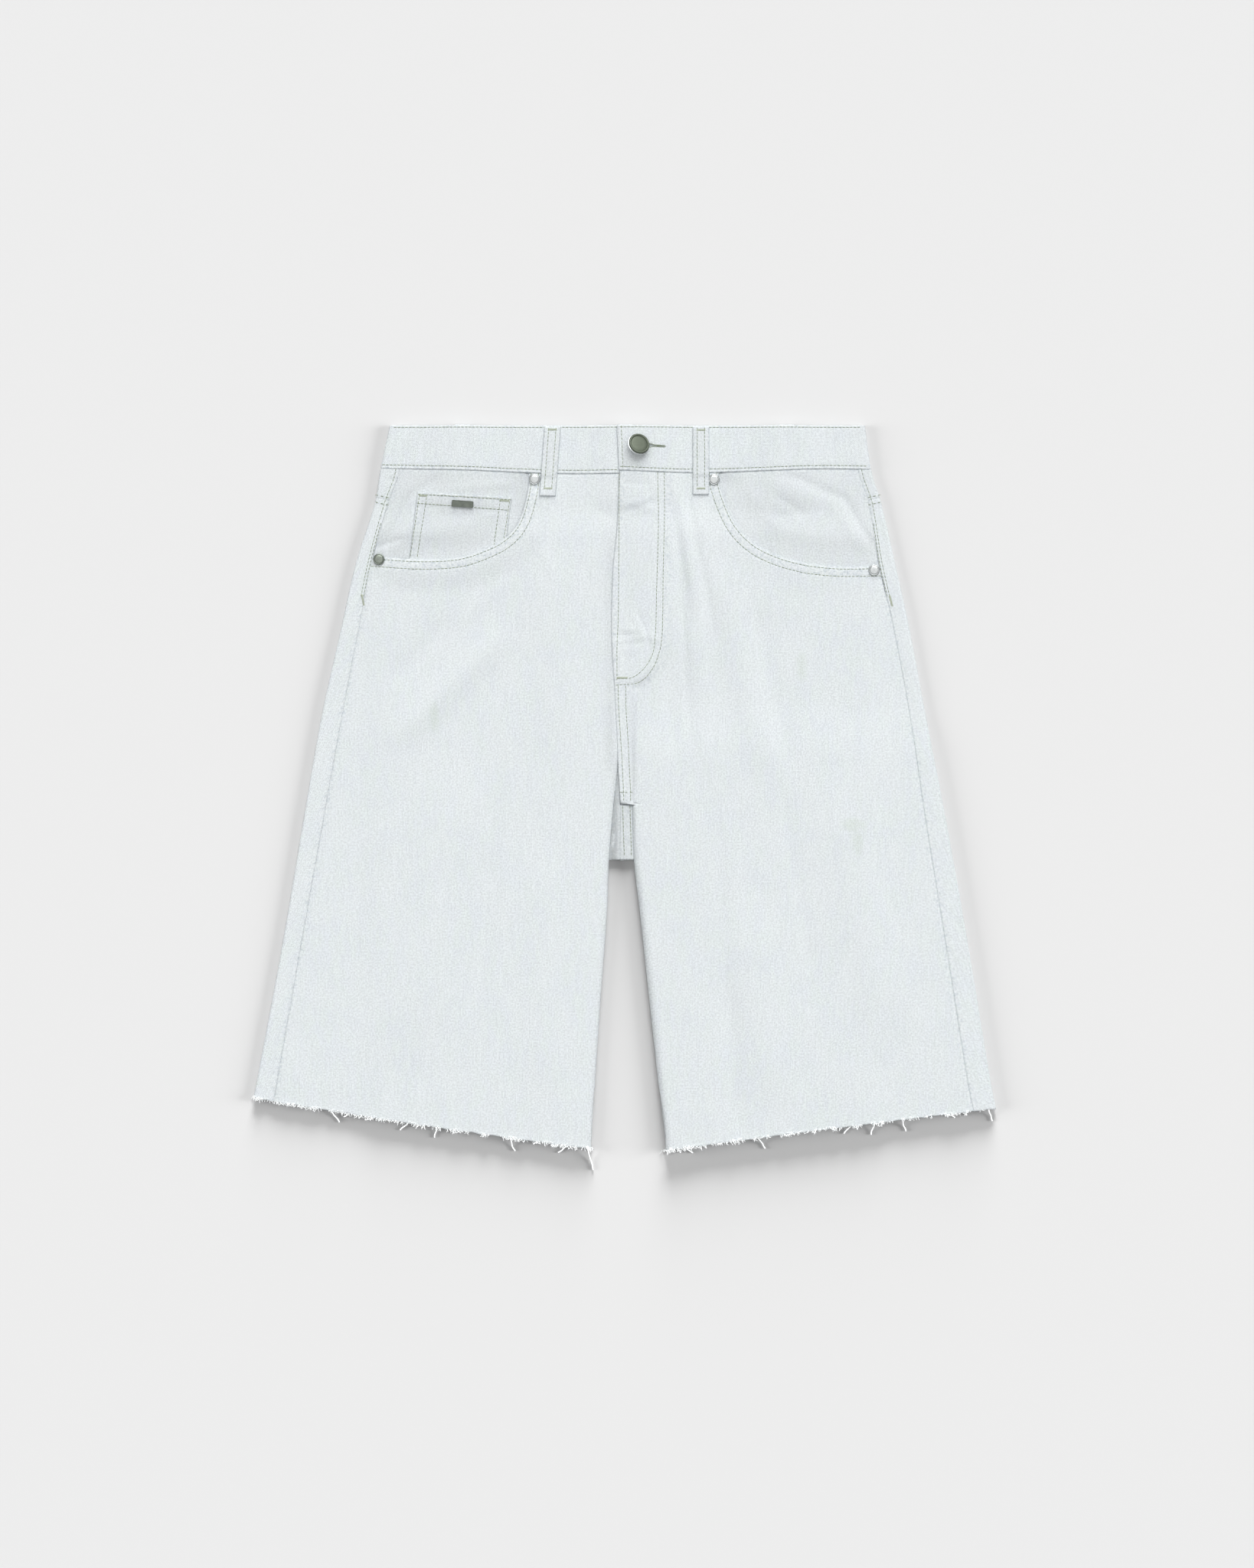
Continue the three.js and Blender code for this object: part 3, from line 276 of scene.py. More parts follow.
# Short creases that are too fine for the solids
CREASES = table(
    "across down long wide height turn",
    (11, 70.5, 32, 2.2, -0.8, 107),
    (10, 66, 26, 2.6, 0.45, 105),
    (21, 56, 24, 2.2, -0.55, 12),
    (8, 50, 20, 2.2, -0.35, 84),
    (5, 180.5, 26, 1.9, -0.8, 98),
    (5, 184.2, 22, 1.7, 0.45, 97),
    (5.5, 187.8, 22, 1.6, -0.75, 95),
    (16, 173, 26, 1.8, -0.65, 22),
    (12, 172, 22, 2.2, 0.4, 24),
    (22, 190, 18, 2.0, -0.3, 14),
    (2, 199, 18, 2.0, -0.3, 84),
    (-205, 129, 26, 2.6, -0.5, -64),
    (-190, 124, 34, 2.6, 0.35, -76),
    (45.5, 102, 100, 3.8, -0.75, 10),
    (54, 106, 120, 4.6, 1.1, 10),
    (64, 114, 120, 3.8, -1.0, 10),
    (74, 118, 110, 6.0, 0.45, 12),
    (53, 205, 120, 3.4, -0.8, 3),
    (45, 205, 120, 5.0, 0.5, 3),
    (66, 232, 150, 7.0, 0.5, 5),
    (84, 420, 190, 7.0, -0.35, 3),
    (96, 420, 180, 8.0, 0.35, 4),
    (150, 400, 170, 7.0, -0.6, 9),
    (-118, 400, 190, 7.0, -0.6, -6),
    (-104, 410, 170, 7.0, 0.5, -6),
    (-200, 430, 150, 6.0, -0.5, -9),
    (-70, 110, 46, 4.0, 0.35, 24),
    (-120, 150, 60, 6.0, 0.4, -50),
    (-186, 60, 34, 4.0, 0.4, -30),
)
# Creases of the facings, seen inside the pocket mouths
FACING_CREASES = table(
    "across down long wide height turn",
    (-196, 84, 44, 3.4, -1.04, -27),
    (-188, 92, 40, 3.6, 0.72, -30),
    (-177, 56, 40, 3.6, -0.8, -56),
    (-120, 52, 60, 4.0, 0.48, -84),
    (-202, 101, 24, 2.6, -0.8, -70),
    (162, 51, 64, 4.4, -0.8, 66),
    (150, 58, 60, 5.0, 0.3, 66),
    (201, 82, 50, 3.6, -1.2, 30),
    (190, 84, 50, 4.4, 0.4, 34),
    (142, 68, 34, 4.0, -0.64, 58),
    (120, 72, 46, 5.0, 0.3, 40),
)
BACK_LOOPS = {"loop_back_right": -140, "loop_back_centre": 0, "loop_back_left": 140}
BACK_LOOP_LENGTH = 56
BACK_LOOP_WIDTH = 13
BackPocket = namedtuple("BackPocket", "across down width side_length point_drop taper tilt")
BACK_POCKET = BackPocket(across=112, down=112, width=160, side_length=148, point_drop=22, taper=9, tilt=5)


def edge_out(side, down):
    return column(OUTER_EDGE, "down", side.name + "_edge", down)


def seam_out(side, down):
    return edge_out(side, down) - column(OUTER_EDGE, "down", side.name + "_wrap", down)


def rise_across(side, down):
    return column(RISE_EDGE, "down", side.name, down)


def inner_leg(side, down):
    return column(INNER_LEG, "down", side.name, down)


def waist_down(side, across):
    return column(WAIST_SEAM[side.name], "across", "down", across)


def hem_down(side, across):
    hem = HEM[side.name]
    t = (across - hem["inner"][0]) / (hem["outer"][0] - hem["inner"][0])
    return mix(hem["inner"][1], hem["outer"][1], t) + hem["bow"] * 4 * t * (1 - t)


def yoke_down(side, out):
    return YOKE_AT_EDGE + YOKE_SLOPE * (edge_out(side, YOKE_AT_EDGE) - out)


def seat_across(down):
    return mix(-1.5, -3.6, (down - BAND_DEPTH) / (CROTCH_FOLD_DOWN - BAND_DEPTH))


# %% [markdown]
# ## Heights of the lying cloth
# Each layer is a height over the plan: a base level, lifted where pockets and loops lie below,
# plus ridges and troughs that are listed one by one. Keeping them as functions means that a stitch,
# a rivet or a second layer can ask for the height of the cloth at its own place.

# %% Levels
def near_path(path, across, down):
    """Signed distance to a path, positive on its left, and the nearest index."""
    across, down = np.broadcast_arrays(np.asarray(across, float), np.asarray(down, float))
    here = np.stack([across.ravel(), down.ravel()], axis=1)
    coarse = path[::3]
    best = np.empty(len(here), int)
    for start in range(0, len(here), 4096):
        gap = here[start:start + 4096, None, :] - coarse[None, :, :]
        best[start:start + 4096] = (gap**2).sum(-1).argmin(1)
    along = tangents(coarse)[best]
    gap = here - coarse[best]
    side = np.sign(along[:, 0] * gap[:, 1] - along[:, 1] * gap[:, 0])
    across_gap = np.abs(along[:, 0] * gap[:, 1] - along[:, 1] * gap[:, 0])
    at_end = (best == 0) | (best == len(coarse) - 1)
    distance = np.where(at_end, np.linalg.norm(gap, axis=1), across_gap)
    return (side * distance).reshape(across.shape)


def mouth_distance(side, across, down):
    """Distance to the pocket mouth, positive over the pocket facing."""
    return -side.hand * near_path(MOUTH[side.name], across, down)


def soft_box(across, down, centre, half_width, start, end, ramp):
    beyond_x = np.maximum(0, np.abs(across - centre) - half_width)
    beyond_y = np.maximum(0, np.maximum(start - down, down - end))
    return 1 - smooth(0, ramp, np.hypot(beyond_x, beyond_y))


def lift(across, down, pocket_end=None):
    """How far the loops and patch pockets below push the cloth up."""
    across, down = np.broadcast_arrays(np.asarray(across, float), np.asarray(down, float))
    over_loops = np.max([
        soft_box(across, down, centre, BACK_LOOP_WIDTH / 2 + 1.8, -5, BACK_LOOP_LENGTH + 1, 26)
        for centre in BACK_LOOPS.values()
    ], axis=0)
    pocket = BACK_POCKET
    over_pocket = soft_box(
        np.abs(across), down, pocket.across, pocket.width / 2 + 14,
        pocket.down - 16, pocket_end or pocket.down + pocket.side_length + pocket.point_drop + 16, 26,
    )
    edge = np.where(across < 0, edge_out(RIGHT, down), edge_out(LEFT, down))
    inside = edge - np.abs(across)
    return smooth(2, 14, inside) * np.maximum((LOOP + SEAM_GAP) * over_loops, LAYER * over_pocket)


def fold_heights(rows, across, down):
    height = np.zeros(np.broadcast(across, down).shape)
    for k in range(len(rows["across"])):
        turn = math.radians(rows["turn"][k])
        dx, dy = across - rows["across"][k], down - rows["down"][k]
        along = dy * math.cos(turn) + dx * math.sin(turn)
        off = dx * math.cos(turn) - dy * math.sin(turn)
        end = 1 - smooth(0.45, 1, np.abs(along) / (rows["long"][k] / 2 * 1.3))
        height += rows["height"][k] * end * np.exp(-((off / rows["wide"][k]) ** 2))
    return height


def leg_swell(across, down):
    return 0.6 * smooth(4, 40, np.abs(across + 4)) * smooth(190, 300, down)


def lap_share(across):
    return 1 - smooth(33, 50, across)


def lap_rise(across, down):
    """How far the left front stands over the right one at the fly, the rise and the crotch."""
    curve = np.clip((down - 165) / (FLY_DOWN - 165), 0, 1)
    bend = FLY_WIDTH * (1 - np.sqrt(1 - curve**2))
    fly_height = mix(LAP_RISE, 2.0, smooth(50, 180, down))
    fly = fly_height * lap_share(across + bend) * (1 - smooth(FLY_DOWN - 6, FLY_DOWN + 8, down))
    seam = LAYER * (1 - smooth(7.5, 12, across)) * smooth(190, 215, down)
    crease = 1.9 * smooth(6.8, 10.5, across) * smooth(235, 290, down)
    return np.maximum(fly, seam) + crease


def front_level(side, across, down):
    across, down = np.broadcast_arrays(np.asarray(across, float), np.asarray(down, float))
    inside = edge_out(side, down) - side.hand * across
    soft = fold_heights(FOLDS, across, down) * smooth(44, 80, down) + leg_swell(across, down)
    level = FRONT_LEVEL + lift(across, down, pocket_end=700) + soft * smooth(4, 26, inside)
    mouth_rise = LAYER + 0.45 if side is RIGHT else 0.5
    level += (mouth_rise * (1 - smooth(8, 30, np.abs(mouth_distance(side, across, down))))
              * smooth(46, 62, down) * smooth(4, 26, seam_out(side, down) - side.hand * across))
    if side is LEFT:
        level += lap_rise(across, down)
    return level


def rolled_level(side, across, down):
    """The front, which rolls down to lie on the back at the inner edge of a leg."""
    level = front_level(side, across, down)
    foot = BACK_LEVEL + LAYER
    edge = np.where(down < CROTCH_DOWN, rise_across(side, down), inner_leg(side, down))
    t = np.clip(side.hand * (across - edge) / 6, 0, 1)
    rolled = foot + (level - foot) * np.sqrt(1 - (1 - t) ** 2)
    start, end = (272, 292) if side is RIGHT else (CROTCH_DOWN - 0.5, CROTCH_DOWN + 1)
    return mix(level, rolled, smooth(start, end, down))


def facing_level(side, across, down):
    dip = 1 - smooth(6, 26, mouth_distance(side, across, down))
    return FRONT_LEVEL + lift(across, down) - LAYER * dip


def band_level(side, across, down):
    lap = LAP_RISE * lap_share(across) if side is LEFT else 0
    return FRONT_LEVEL + lift(across, down) + lap


def top_of(side, across, down):
    """Height of the cloth that a loop or a rivet lies on."""
    seam = waist_down(side, across)
    on_band = 1 - smooth(seam, seam + 3, down)
    panel = front_level(side, across, down) + CLOTH / 2
    return mix(panel, band_level(side, across, down) + BAND / 2, on_band)


print("front level over the right pocket:", round(float(front_level(RIGHT, -140, 140)), 2), "mm")

# %% [markdown]
# ## Fine relief
# Washed denim is never quite flat. It crumples softly, it is drawn in along every row of
# stitching, and next to a seam the shrunken thread puckers it into short slanting waves. These
# are added to the level functions, so all layers and all sewing share them.

# %% Crumple, creases and puckers
ROW_INSET = 1.9        # from a finished edge to its first row of stitching
ROW_GAUGE = 6.35       # between the two needles of a twin-needle row
PUCKER_LENGTH = 6.5    # from one pucker to the next

J_STITCH = smooth_path([
    (34.4, 41.6), (34.7, 73.3), (33.5, 123.8), (32.5, 180.6), (30.6, 193.2), (24.3, 209.6), (12.9, 221), (-6.1, 223.5),
])
J_STITCH_INNER = smooth_path([
    (28.7, 41.6), (29.4, 79.5), (27.8, 142.6), (26.7, 180.6), (24.3, 196.9), (16.7, 209.6), (6.6, 217.1), (-4.8, 218.1),
])


def crumple(across, down):
    soft = 0.10 * ripple(across, down, 46, 11, (1, 2.2)) + 0.05 * ripple(across, down, 17, 12, (1, 1.6))
    return soft * smooth(30, 60, down)


def pucker(distance, along, width, height):
    """Short waves beside a seam, `distance` away from it and `along` it."""
    strength = np.exp(-((distance / width) ** 2))
    wave = np.sin(2 * math.pi * (along + 0.7 * distance) / PUCKER_LENGTH + 1.3 * np.sin(along / 17))
    return height * strength * wave


def groove(distance, depth=0.16, width=0.9):
    """The dent that a row of stitches pulls into the cloth."""
    return -depth * np.exp(-((distance / width) ** 2))


def front_surface(side, across, down):
    across, down = np.broadcast_arrays(np.asarray(across, float), np.asarray(down, float))
    level = rolled_level(side, across, down) + crumple(across, down)
    level += fold_heights(CREASES, across, down)
    from_mouth = -mouth_distance(side, across, down)
    beside = smooth(-60, -50, -np.abs(from_mouth))
    level += beside * (groove(from_mouth - ROW_INSET) + groove(from_mouth - ROW_INSET - ROW_GAUGE))
    level += beside * pucker(from_mouth - 5, across + down, 4.5, 0.07)
    level -= 0.6 * (1 - smooth(0, 2.2, from_mouth)) * beside
    seam = seam_out(side, down) - SIDE_GAP - side.hand * across
    level += pucker(seam, down, 5, 0.05) - 0.3 * (1 - smooth(0, 1.8, seam))
    waist = down - waist_down(side, across)
    level += pucker(waist, across, 5, 0.08) - 0.6 * (1 - smooth(0, 2.0, waist))
    if side is LEFT:
        rows = np.minimum(np.abs(near_path(J_STITCH, across, down)), np.abs(near_path(J_STITCH_INNER, across, down)))
        level += groove(rows, 0.2, 1.5) * smooth(60, 50, rows)
        fold = across - rise_across(side, down)
        level -= 0.7 * (1 - np.sqrt(np.clip(1 - (1 - np.clip(fold / 2.2, 0, 1)) ** 2, 0, 1))) * smooth(CROTCH_DOWN, 250, down)
        level += pucker(fold - 3, down, 4, 0.03) * smooth(CROTCH_DOWN, 250, down)
    hem = hem_down(side, across) - down
    level += 0.18 * ripple(across, 0 * down, 9, 21) * (1 - smooth(0, 14, hem))
    return level


def facing_surface(side, across, down):
    level = facing_level(side, across, down) + crumple(across, down)
    waist = down - waist_down(side, across)
    open_cloth = mouth_distance(side, across, down)
    clear = smooth(0, 9, waist) * smooth(0, 8, open_cloth)
    level += fold_heights(FACING_CREASES, across, down) * clear + pucker(waist, across, 5, 0.06)
    level += 1.1 * (1 - smooth(1, 10, waist)) * smooth(1.5, 6, open_cloth) * (1 - smooth(6, 26, open_cloth))
    return level - 0.35 * (1 - smooth(0, 2.0, waist))


def coin_surface(across, down):
    return facing_surface(RIGHT, across, down) + COIN_RISE


def band_surface(side, across, down):
    seam = waist_down(side, across)
    level = band_level(side, across, down)
    level += pucker(down - seam, across + 0.8 * down, 7, 0.05) + pucker(down, across, 6, 0.03)
    level += 0.16 * ripple(across, down, 19, 31, (1, 1.4)) * smooth(0, 8, down) * (1 - smooth(-6, 0, down - seam))
    return level + groove(down - seam + ROW_INSET + 0.4) + groove(down - 1.5, 0.12)


COIN_RISE = LAYER + 0.12

# %% [markdown]
# ## Cloth as a closed wall
# Denim is 1.2 mm thick, so each piece is a closed wall round a grid of points: an outer face, an
# inner face, and a rounded rim that joins them. Building the wall from the grid itself, and not
# by a modifier, lets every corner keep a place on the cloth, a UV in metres, that the weave of
# the material follows round folds and turned edges.

# %% Walls of cloth
Wall = namedtuple("Wall", "points faces uv marks")


def spread(length, step, close=1.0, close_length=3.0):
    """Shares 0 to 1 along an edge of that length, closer together at both ends."""
    ends = np.arange(0, close_length, close)
    count = max(2, int(round((length - 2 * close_length) / step)) + 1)
    middle = np.linspace(close_length, length - close_length, count)
    return np.concatenate([ends, middle, length - ends[::-1]]) / length


def patch(top, foot, inner, outer, us, vs):
    """Plan grid between four edges, each a function of 0 to 1 that gives (across, down)."""
    u, v = us[None, :, None], vs[:, None, None]
    corners = [edge(np.array([0.0, 1.0])) for edge in (top, foot)]
    ruled = (1 - v) * top(us)[None] + v * foot(us)[None] + (1 - u) * inner(vs)[:, None] + u * outer(vs)[:, None]
    flat = (1 - v) * ((1 - u) * corners[0][0] + u * corners[0][1]) + v * ((1 - u) * corners[1][0] + u * corners[1][1])
    return ruled - flat


def normals_of(points):
    """Unit normals of a grid of points, from its own neighbours."""
    normal = np.cross(np.gradient(points, axis=1), np.gradient(points, axis=0))
    return normal / np.maximum(np.linalg.norm(normal, axis=2, keepdims=True), 1e-12)


def wall(across, down, level, thick, uv=None, toward=1, rim=0.35, **marks):
    """A wall about a grid. `toward` is +1 where its first corner faces up and -1 where down."""
    points = place(across, down, level)
    uv = points[..., :2] if uv is None else uv
    normal = normals_of(points)
    if normal[1, 1, 2] * toward < 0:
        normal = -normal
    rows, cols = points.shape[:2]
    i = np.concatenate([np.zeros(cols, int), np.arange(1, rows), np.full(cols - 1, rows - 1), np.arange(rows - 2, 0, -1)])
    j = np.concatenate([np.arange(cols), np.full(rows - 1, cols - 1), np.arange(cols - 2, -1, -1), np.zeros(rows - 2, int)])
    away = points[i, j] - points[np.clip(i, 1, rows - 2), np.clip(j, 1, cols - 2)]
    away /= np.maximum(np.linalg.norm(away, axis=1, keepdims=True), 1e-12)
    edge = points[i, j] + away * thick * MM * rim
    half = normal * thick * MM / 2
    inset = np.zeros_like(points)
    inset[i, j] = -away * thick * MM * 0.12
    shells = [points + half + inset, points - half + inset]
    stack = np.concatenate([shells[0].reshape(-1, 3), shells[1].reshape(-1, 3), edge])
    stack[:, 2] = np.maximum(stack[:, 2], 0)
    grid = np.arange(rows * cols).reshape(rows, cols)
    quads = np.stack([grid[:-1, :-1], grid[1:, :-1], grid[1:, 1:], grid[:-1, 1:]], axis=-1).reshape(-1, 4)
    ring = grid[i, j]
    after = np.roll(np.arange(len(ring)), -1)
    middle = 2 * rows * cols + np.arange(len(ring))
    upper = np.stack([ring, ring[after], middle[after], middle], axis=1)
    lower = np.stack([middle, middle[after], ring[after] + rows * cols, ring + rows * cols], axis=1)
    faces = np.concatenate([quads, quads[:, ::-1] + rows * cols, upper, lower])
    spots = stack[faces]
    volume = sum(np.einsum("ij,ij->i", spots[:, 0], np.cross(spots[:, a], spots[:, b])).sum() for a, b in ((1, 2), (2, 3)))
    if volume < 0:
        faces = faces[:, ::-1]
    flat_uv = uv.reshape(-1, 2)
    marked = {}
    for name, value in marks.items():
        value = np.broadcast_to(value, (rows, cols)).ravel()
        marked[name] = np.concatenate([value, value, value[ring]])
    return Wall(stack, faces, np.concatenate([flat_uv, flat_uv, flat_uv[ring]]), marked)


# Marks carried by each point: seam roping, tone with painted shade and painted light, and rubbed wear
MARKS = ("seam", "tone", "worn")


def cloth_object(name, *walls):
    """One mesh from one or more walls, smooth, with its UV map and its marks."""
    offsets = np.cumsum([0] + [len(part.points) for part in walls])
    points = np.concatenate([part.points for part in walls])
    faces = np.concatenate([part.faces + start for part, start in zip(walls, offsets)])
    uv = np.concatenate([part.uv for part in walls])
    mesh = bpy.data.meshes.new(name)
    mesh.vertices.add(len(points))
    mesh.vertices.foreach_set("co", points.ravel().astype(np.float32))
    mesh.loops.add(faces.size)
    mesh.loops.foreach_set("vertex_index", faces.ravel().astype(np.int32))
    mesh.polygons.add(len(faces))
    mesh.polygons.foreach_set("loop_start", np.arange(0, faces.size, 4, dtype=np.int32))
    mesh.update(calc_edges=True)
    mesh.polygons.foreach_set("use_smooth", np.ones(len(faces), bool))
    mesh.uv_layers.new(name="cloth").data.foreach_set("uv", uv[faces.ravel()].ravel().astype(np.float32))
    for mark in MARKS:
        values = np.concatenate([part.marks.get(mark, np.zeros(len(part.points))) for part in walls])
        mesh.attributes.new(mark, "FLOAT", "POINT").data.foreach_set("value", values.astype(np.float32))
    piece = bpy.data.objects.new(name, mesh)
    bpy.context.scene.collection.objects.link(piece)
    print(f"{name}: {2 * len(faces)} triangles")
    return piece


# %% [markdown]
# ## Adding nodes
# Every material below is a small tree of nodes. One function adds a node, sets its properties
# and links or fills its sockets, and one turns the hex colours of a colour picker into the
# linear numbers that Blender shades with.

# %% Node helpers
def linear(hex_colour):
    channels = [int(hex_colour[k:k + 2], 16) / 255 for k in (1, 3, 5)]
    return tuple(c / 12.92 if c <= 0.04045 else ((c + 0.055) / 1.055) ** 2.4 for c in channels) + (1.0,)


def add_node(tree, kind, inputs=(), **settings):
    """A node with its settings, and its inputs as {name or number: value or socket}."""
    node = tree.nodes.new(kind)
    for name, value in settings.items():
        setattr(node, name, value)
    for name, value in dict(inputs).items():
        if isinstance(value, bpy.types.NodeSocket):
            tree.links.new(value, node.inputs[name])
        else:
            node.inputs[name].default_value = value
    return node


def new_material(name):
    """A material with only its shader and its output left in the tree."""
    material = bpy.data.materials.new(name)
    material.use_nodes = True
    tree = material.node_tree
    tree.nodes.clear()
    shader = add_node(tree, "ShaderNodeBsdfPrincipled")
    add_node(tree, "ShaderNodeOutputMaterial", {"Surface": shader.outputs["BSDF"]})
    return material, tree, shader


# %% [markdown]
# ## Bleached denim
# Denim is a 3/1 cotton twill: fine diagonal ribs, with slubby warp yarns that run down the leg.
# This one was bleached until the indigo is only a breath of blue, so the weave shows less as
# colour than as fine streaks and a soft tooth. Cotton is matt, with a little fuzz at grazing
# angles. Seams wear differently: the puckers' tops go white and their hollows keep some blue.
# The pattern follows the cloth by its UV map, whose unit is a metre of cloth.

# %% Bleached denim material
TWILL_PITCH = 1.2 * MM         # of the ribs in a 14 ounce twill
SLUB_WIDTH = 0.9 * MM
SLUB_LENGTH = 34 * MM
WEFT_LENGTH = 4 * MM
GRAIN_SHARE = 4.0              # of the fine grain, against each kind of streak
DENIM_PALE = "#E9EEF0"
DENIM_BLUE = "#E3E8F0"
DENIM_GREEN = "#E5EEEA"
SEAM_BLUE = "#B9C4CC"
WORN_GREEN = "#E0EBE1"
WORN_DARK = "#B7C1B4"
SEAM_WHITE = "#F1F5F6"


def denim_material(name, pale, blue, green):
    material, tree, shader = new_material(name)
    cloth = add_node(tree, "ShaderNodeUVMap", uv_map="cloth").outputs["UV"]

    def stretched_noise(across_size, down_size, detail, roughness=0.55, turn=0.0):
        mapping = add_node(tree, "ShaderNodeMapping", {
            "Vector": cloth, "Scale": (1 / across_size, 1 / down_size, 1), "Rotation": (0, 0, turn),
        })
        return add_node(tree, "ShaderNodeTexNoise", {
            "Vector": mapping.outputs["Vector"], "Scale": 1.0, "Detail": detail, "Roughness": roughness,
        }, noise_dimensions="2D").outputs["Fac"]

    def blend(fac, a, b, kind="MIX"):
        node = add_node(tree, "ShaderNodeMix", {"Factor": fac, 6: a, 7: b}, data_type="RGBA", blend_type=kind)
        return node.outputs[2]

    def curve(fac, low, high, out_low, out_high):
        return add_node(tree, "ShaderNodeMapRange", {
            "Value": fac, "From Min": low, "From Max": high, "To Min": out_low, "To Max": out_high,
        }, interpolation_type="SMOOTHSTEP").outputs["Result"]

    slubs = stretched_noise(SLUB_WIDTH, SLUB_LENGTH, 3)
    yarns = stretched_noise(0.55 * MM, 9 * MM, 2, 0.6)
    weft = stretched_noise(WEFT_LENGTH, 0.7 * MM, 2)
    grain = stretched_noise(1.25 * MM, 1.35 * MM, 1.5, 0.75)
    blotches = stretched_noise(30 * MM, 52 * MM, 5)
    tints = stretched_noise(11 * MM, 26 * MM, 4, 0.6)
    twill = add_node(tree, "ShaderNodeTexWave", {
        "Vector": add_node(tree, "ShaderNodeMapping", {
            "Vector": cloth, "Rotation": (0, 0, math.radians(38)), "Scale": (1, 1, 1),
        }).outputs["Vector"],
        "Scale": 0.314 / TWILL_PITCH, "Distortion": 1.4, "Detail": 2.0, "Detail Scale": 3.0,
    }, wave_type="BANDS", bands_direction="X").outputs["Fac"]

    colour = blend(curve(tints, 0.35, 0.65, 0.24, 0.76), linear(blue), linear(green))
    colour = blend(curve(blotches, 0.3, 0.7, 0.35, 0.85), colour, linear(pale))
    streaks = add_node(tree, "ShaderNodeMath", {0: slubs, 1: yarns}, operation="ADD").outputs[0]
    streaks = add_node(tree, "ShaderNodeMath", {0: streaks, 1: weft}, operation="ADD").outputs[0]
    streaks = add_node(tree, "ShaderNodeMath", {0: grain, 1: GRAIN_SHARE, 2: streaks}, operation="MULTIPLY_ADD").outputs[0]
    shade = curve(streaks, 2.4, 4.6, 0.857, 1.108)
    twilled = curve(twill, 0.0, 1.0, 0.955, 1.04)
    value = add_node(tree, "ShaderNodeMath", {0: shade, 1: twilled}, operation="MULTIPLY").outputs[0]
    # This mark scales the colour: painted shade by seams, in the crotch and at the pocket mouths, painted light along
    # the hems, and a slight tone of some pieces
    tone = add_node(tree, "ShaderNodeAttribute", attribute_name="tone").outputs["Fac"]
    value = add_node(tree, "ShaderNodeMath", {0: value, 1: tone}, operation="MULTIPLY_ADD")
    tree.links.new(value.inputs[0].links[0].from_socket, value.inputs[2])
    value = value.outputs[0]
    colour = add_node(tree, "ShaderNodeVectorMath", {0: colour, "Scale": value}, operation="SCALE").outputs[0]

    seam = add_node(tree, "ShaderNodeAttribute", attribute_name="seam").outputs["Fac"]
    roping = stretched_noise(3.2 * MM, 2.4 * MM, 3, 0.6, math.radians(38))
    dark = add_node(tree, "ShaderNodeMath", {0: curve(roping, 0.5, 0.7, 0, 0.5), 1: seam}, operation="MULTIPLY")
    light = add_node(tree, "ShaderNodeMath", {0: curve(roping, 0.5, 0.3, 0, 0.45), 1: seam}, operation="MULTIPLY")
    colour = blend(dark.outputs[0], colour, linear(SEAM_BLUE))
    colour = blend(light.outputs[0], colour, linear(SEAM_WHITE))

    worn = add_node(tree, "ShaderNodeAttribute", attribute_name="worn").outputs["Fac"]
    broken = stretched_noise(0.9 * MM, 0.8 * MM, 2, 0.7)
    greened = add_node(tree, "ShaderNodeMath", {0: worn, 1: 0.25}, operation="MULTIPLY").outputs[0]
    specks = add_node(tree, "ShaderNodeMath", {0: curve(broken, 0.5, 0.62, 0, 0.5), 1: worn}, operation="MULTIPLY")
    colour = blend(greened, colour, linear(WORN_GREEN))
    colour = blend(specks.outputs[0], colour, linear(WORN_DARK))
    tree.links.new(colour, shader.inputs["Base Color"])

    tooth = add_node(tree, "ShaderNodeMath", {0: twill, 1: yarns}, operation="ADD").outputs[0]
    tooth = add_node(tree, "ShaderNodeMath", {0: tooth, 1: roping}, operation="ADD").outputs[0]
    bump = add_node(tree, "ShaderNodeBump", {"Height": tooth, "Strength": 0.35, "Distance": 0.12 * MM})
    tree.links.new(bump.outputs["Normal"], shader.inputs["Normal"])
    shader.inputs["Roughness"].default_value = 0.94
    shader.inputs["Specular IOR Level"].default_value = 0.25
    shader.inputs["Sheen Weight"].default_value = 0.06
    shader.inputs["Sheen Roughness"].default_value = 0.6
    return material


bleached_denim = denim_material("bleached_denim_twill", DENIM_PALE, DENIM_BLUE, DENIM_GREEN)


def dress(piece, material, *nodes, slot=None):
    """Gives a finished piece its material, and lets it stand for solids of the frame."""
    piece.data.materials.clear()
    piece.data.materials.append(material)
    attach(piece, "root")
    if nodes:
        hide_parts(*nodes)


def cloth_area(piece):
    """Area of one face of a closed wall, in square metres."""
    return sum(face.area for face in piece.data.polygons) / 2


def declare_sheet(piece):
    """Says what the piece was cut to: its own width and length, and the area of its outline."""
    low = np.min([corner[:] for corner in piece.bound_box], axis=0)
    high = np.max([corner[:] for corner in piece.bound_box], axis=0)
    area = cloth_area(piece)
    width, length = np.maximum(high - low, 0.01)[:2]
    grow = max(1.0, area / (width * length))
    return width * grow, length, area


# %% [markdown]
# ## Front panels
# A jeans front is cut away at the pocket mouth and runs from the waist seam to the raw hem. The
# left one laps over at the fly. Each is a grid between its four edges, laid over the level of
# the front, with finer steps at the fly and along the pocket mouth where the eye looks.

# %% Front panels
MOUTH_SHARE = 0.36         # of the upper edge that is waist seam
CROTCH_SHARE = 0.49        # of the inner edge that is above the crotch
FRONT_LENGTH = 585
HEM_CUT = 0.1              # the cloth ends this far above the line of the hem
FAN = 8                    # how far the columns of the grid swing away from the pocket mouth


# Rubbed places on the front: where, half their width and half their length
WORN_SPOTS = [(152.5, 207.5, 4.6, 15), (197, 344, 11, 6.5), (201, 360, 5.5, 13), (-163.5, 250.7, 4.6, 15)]


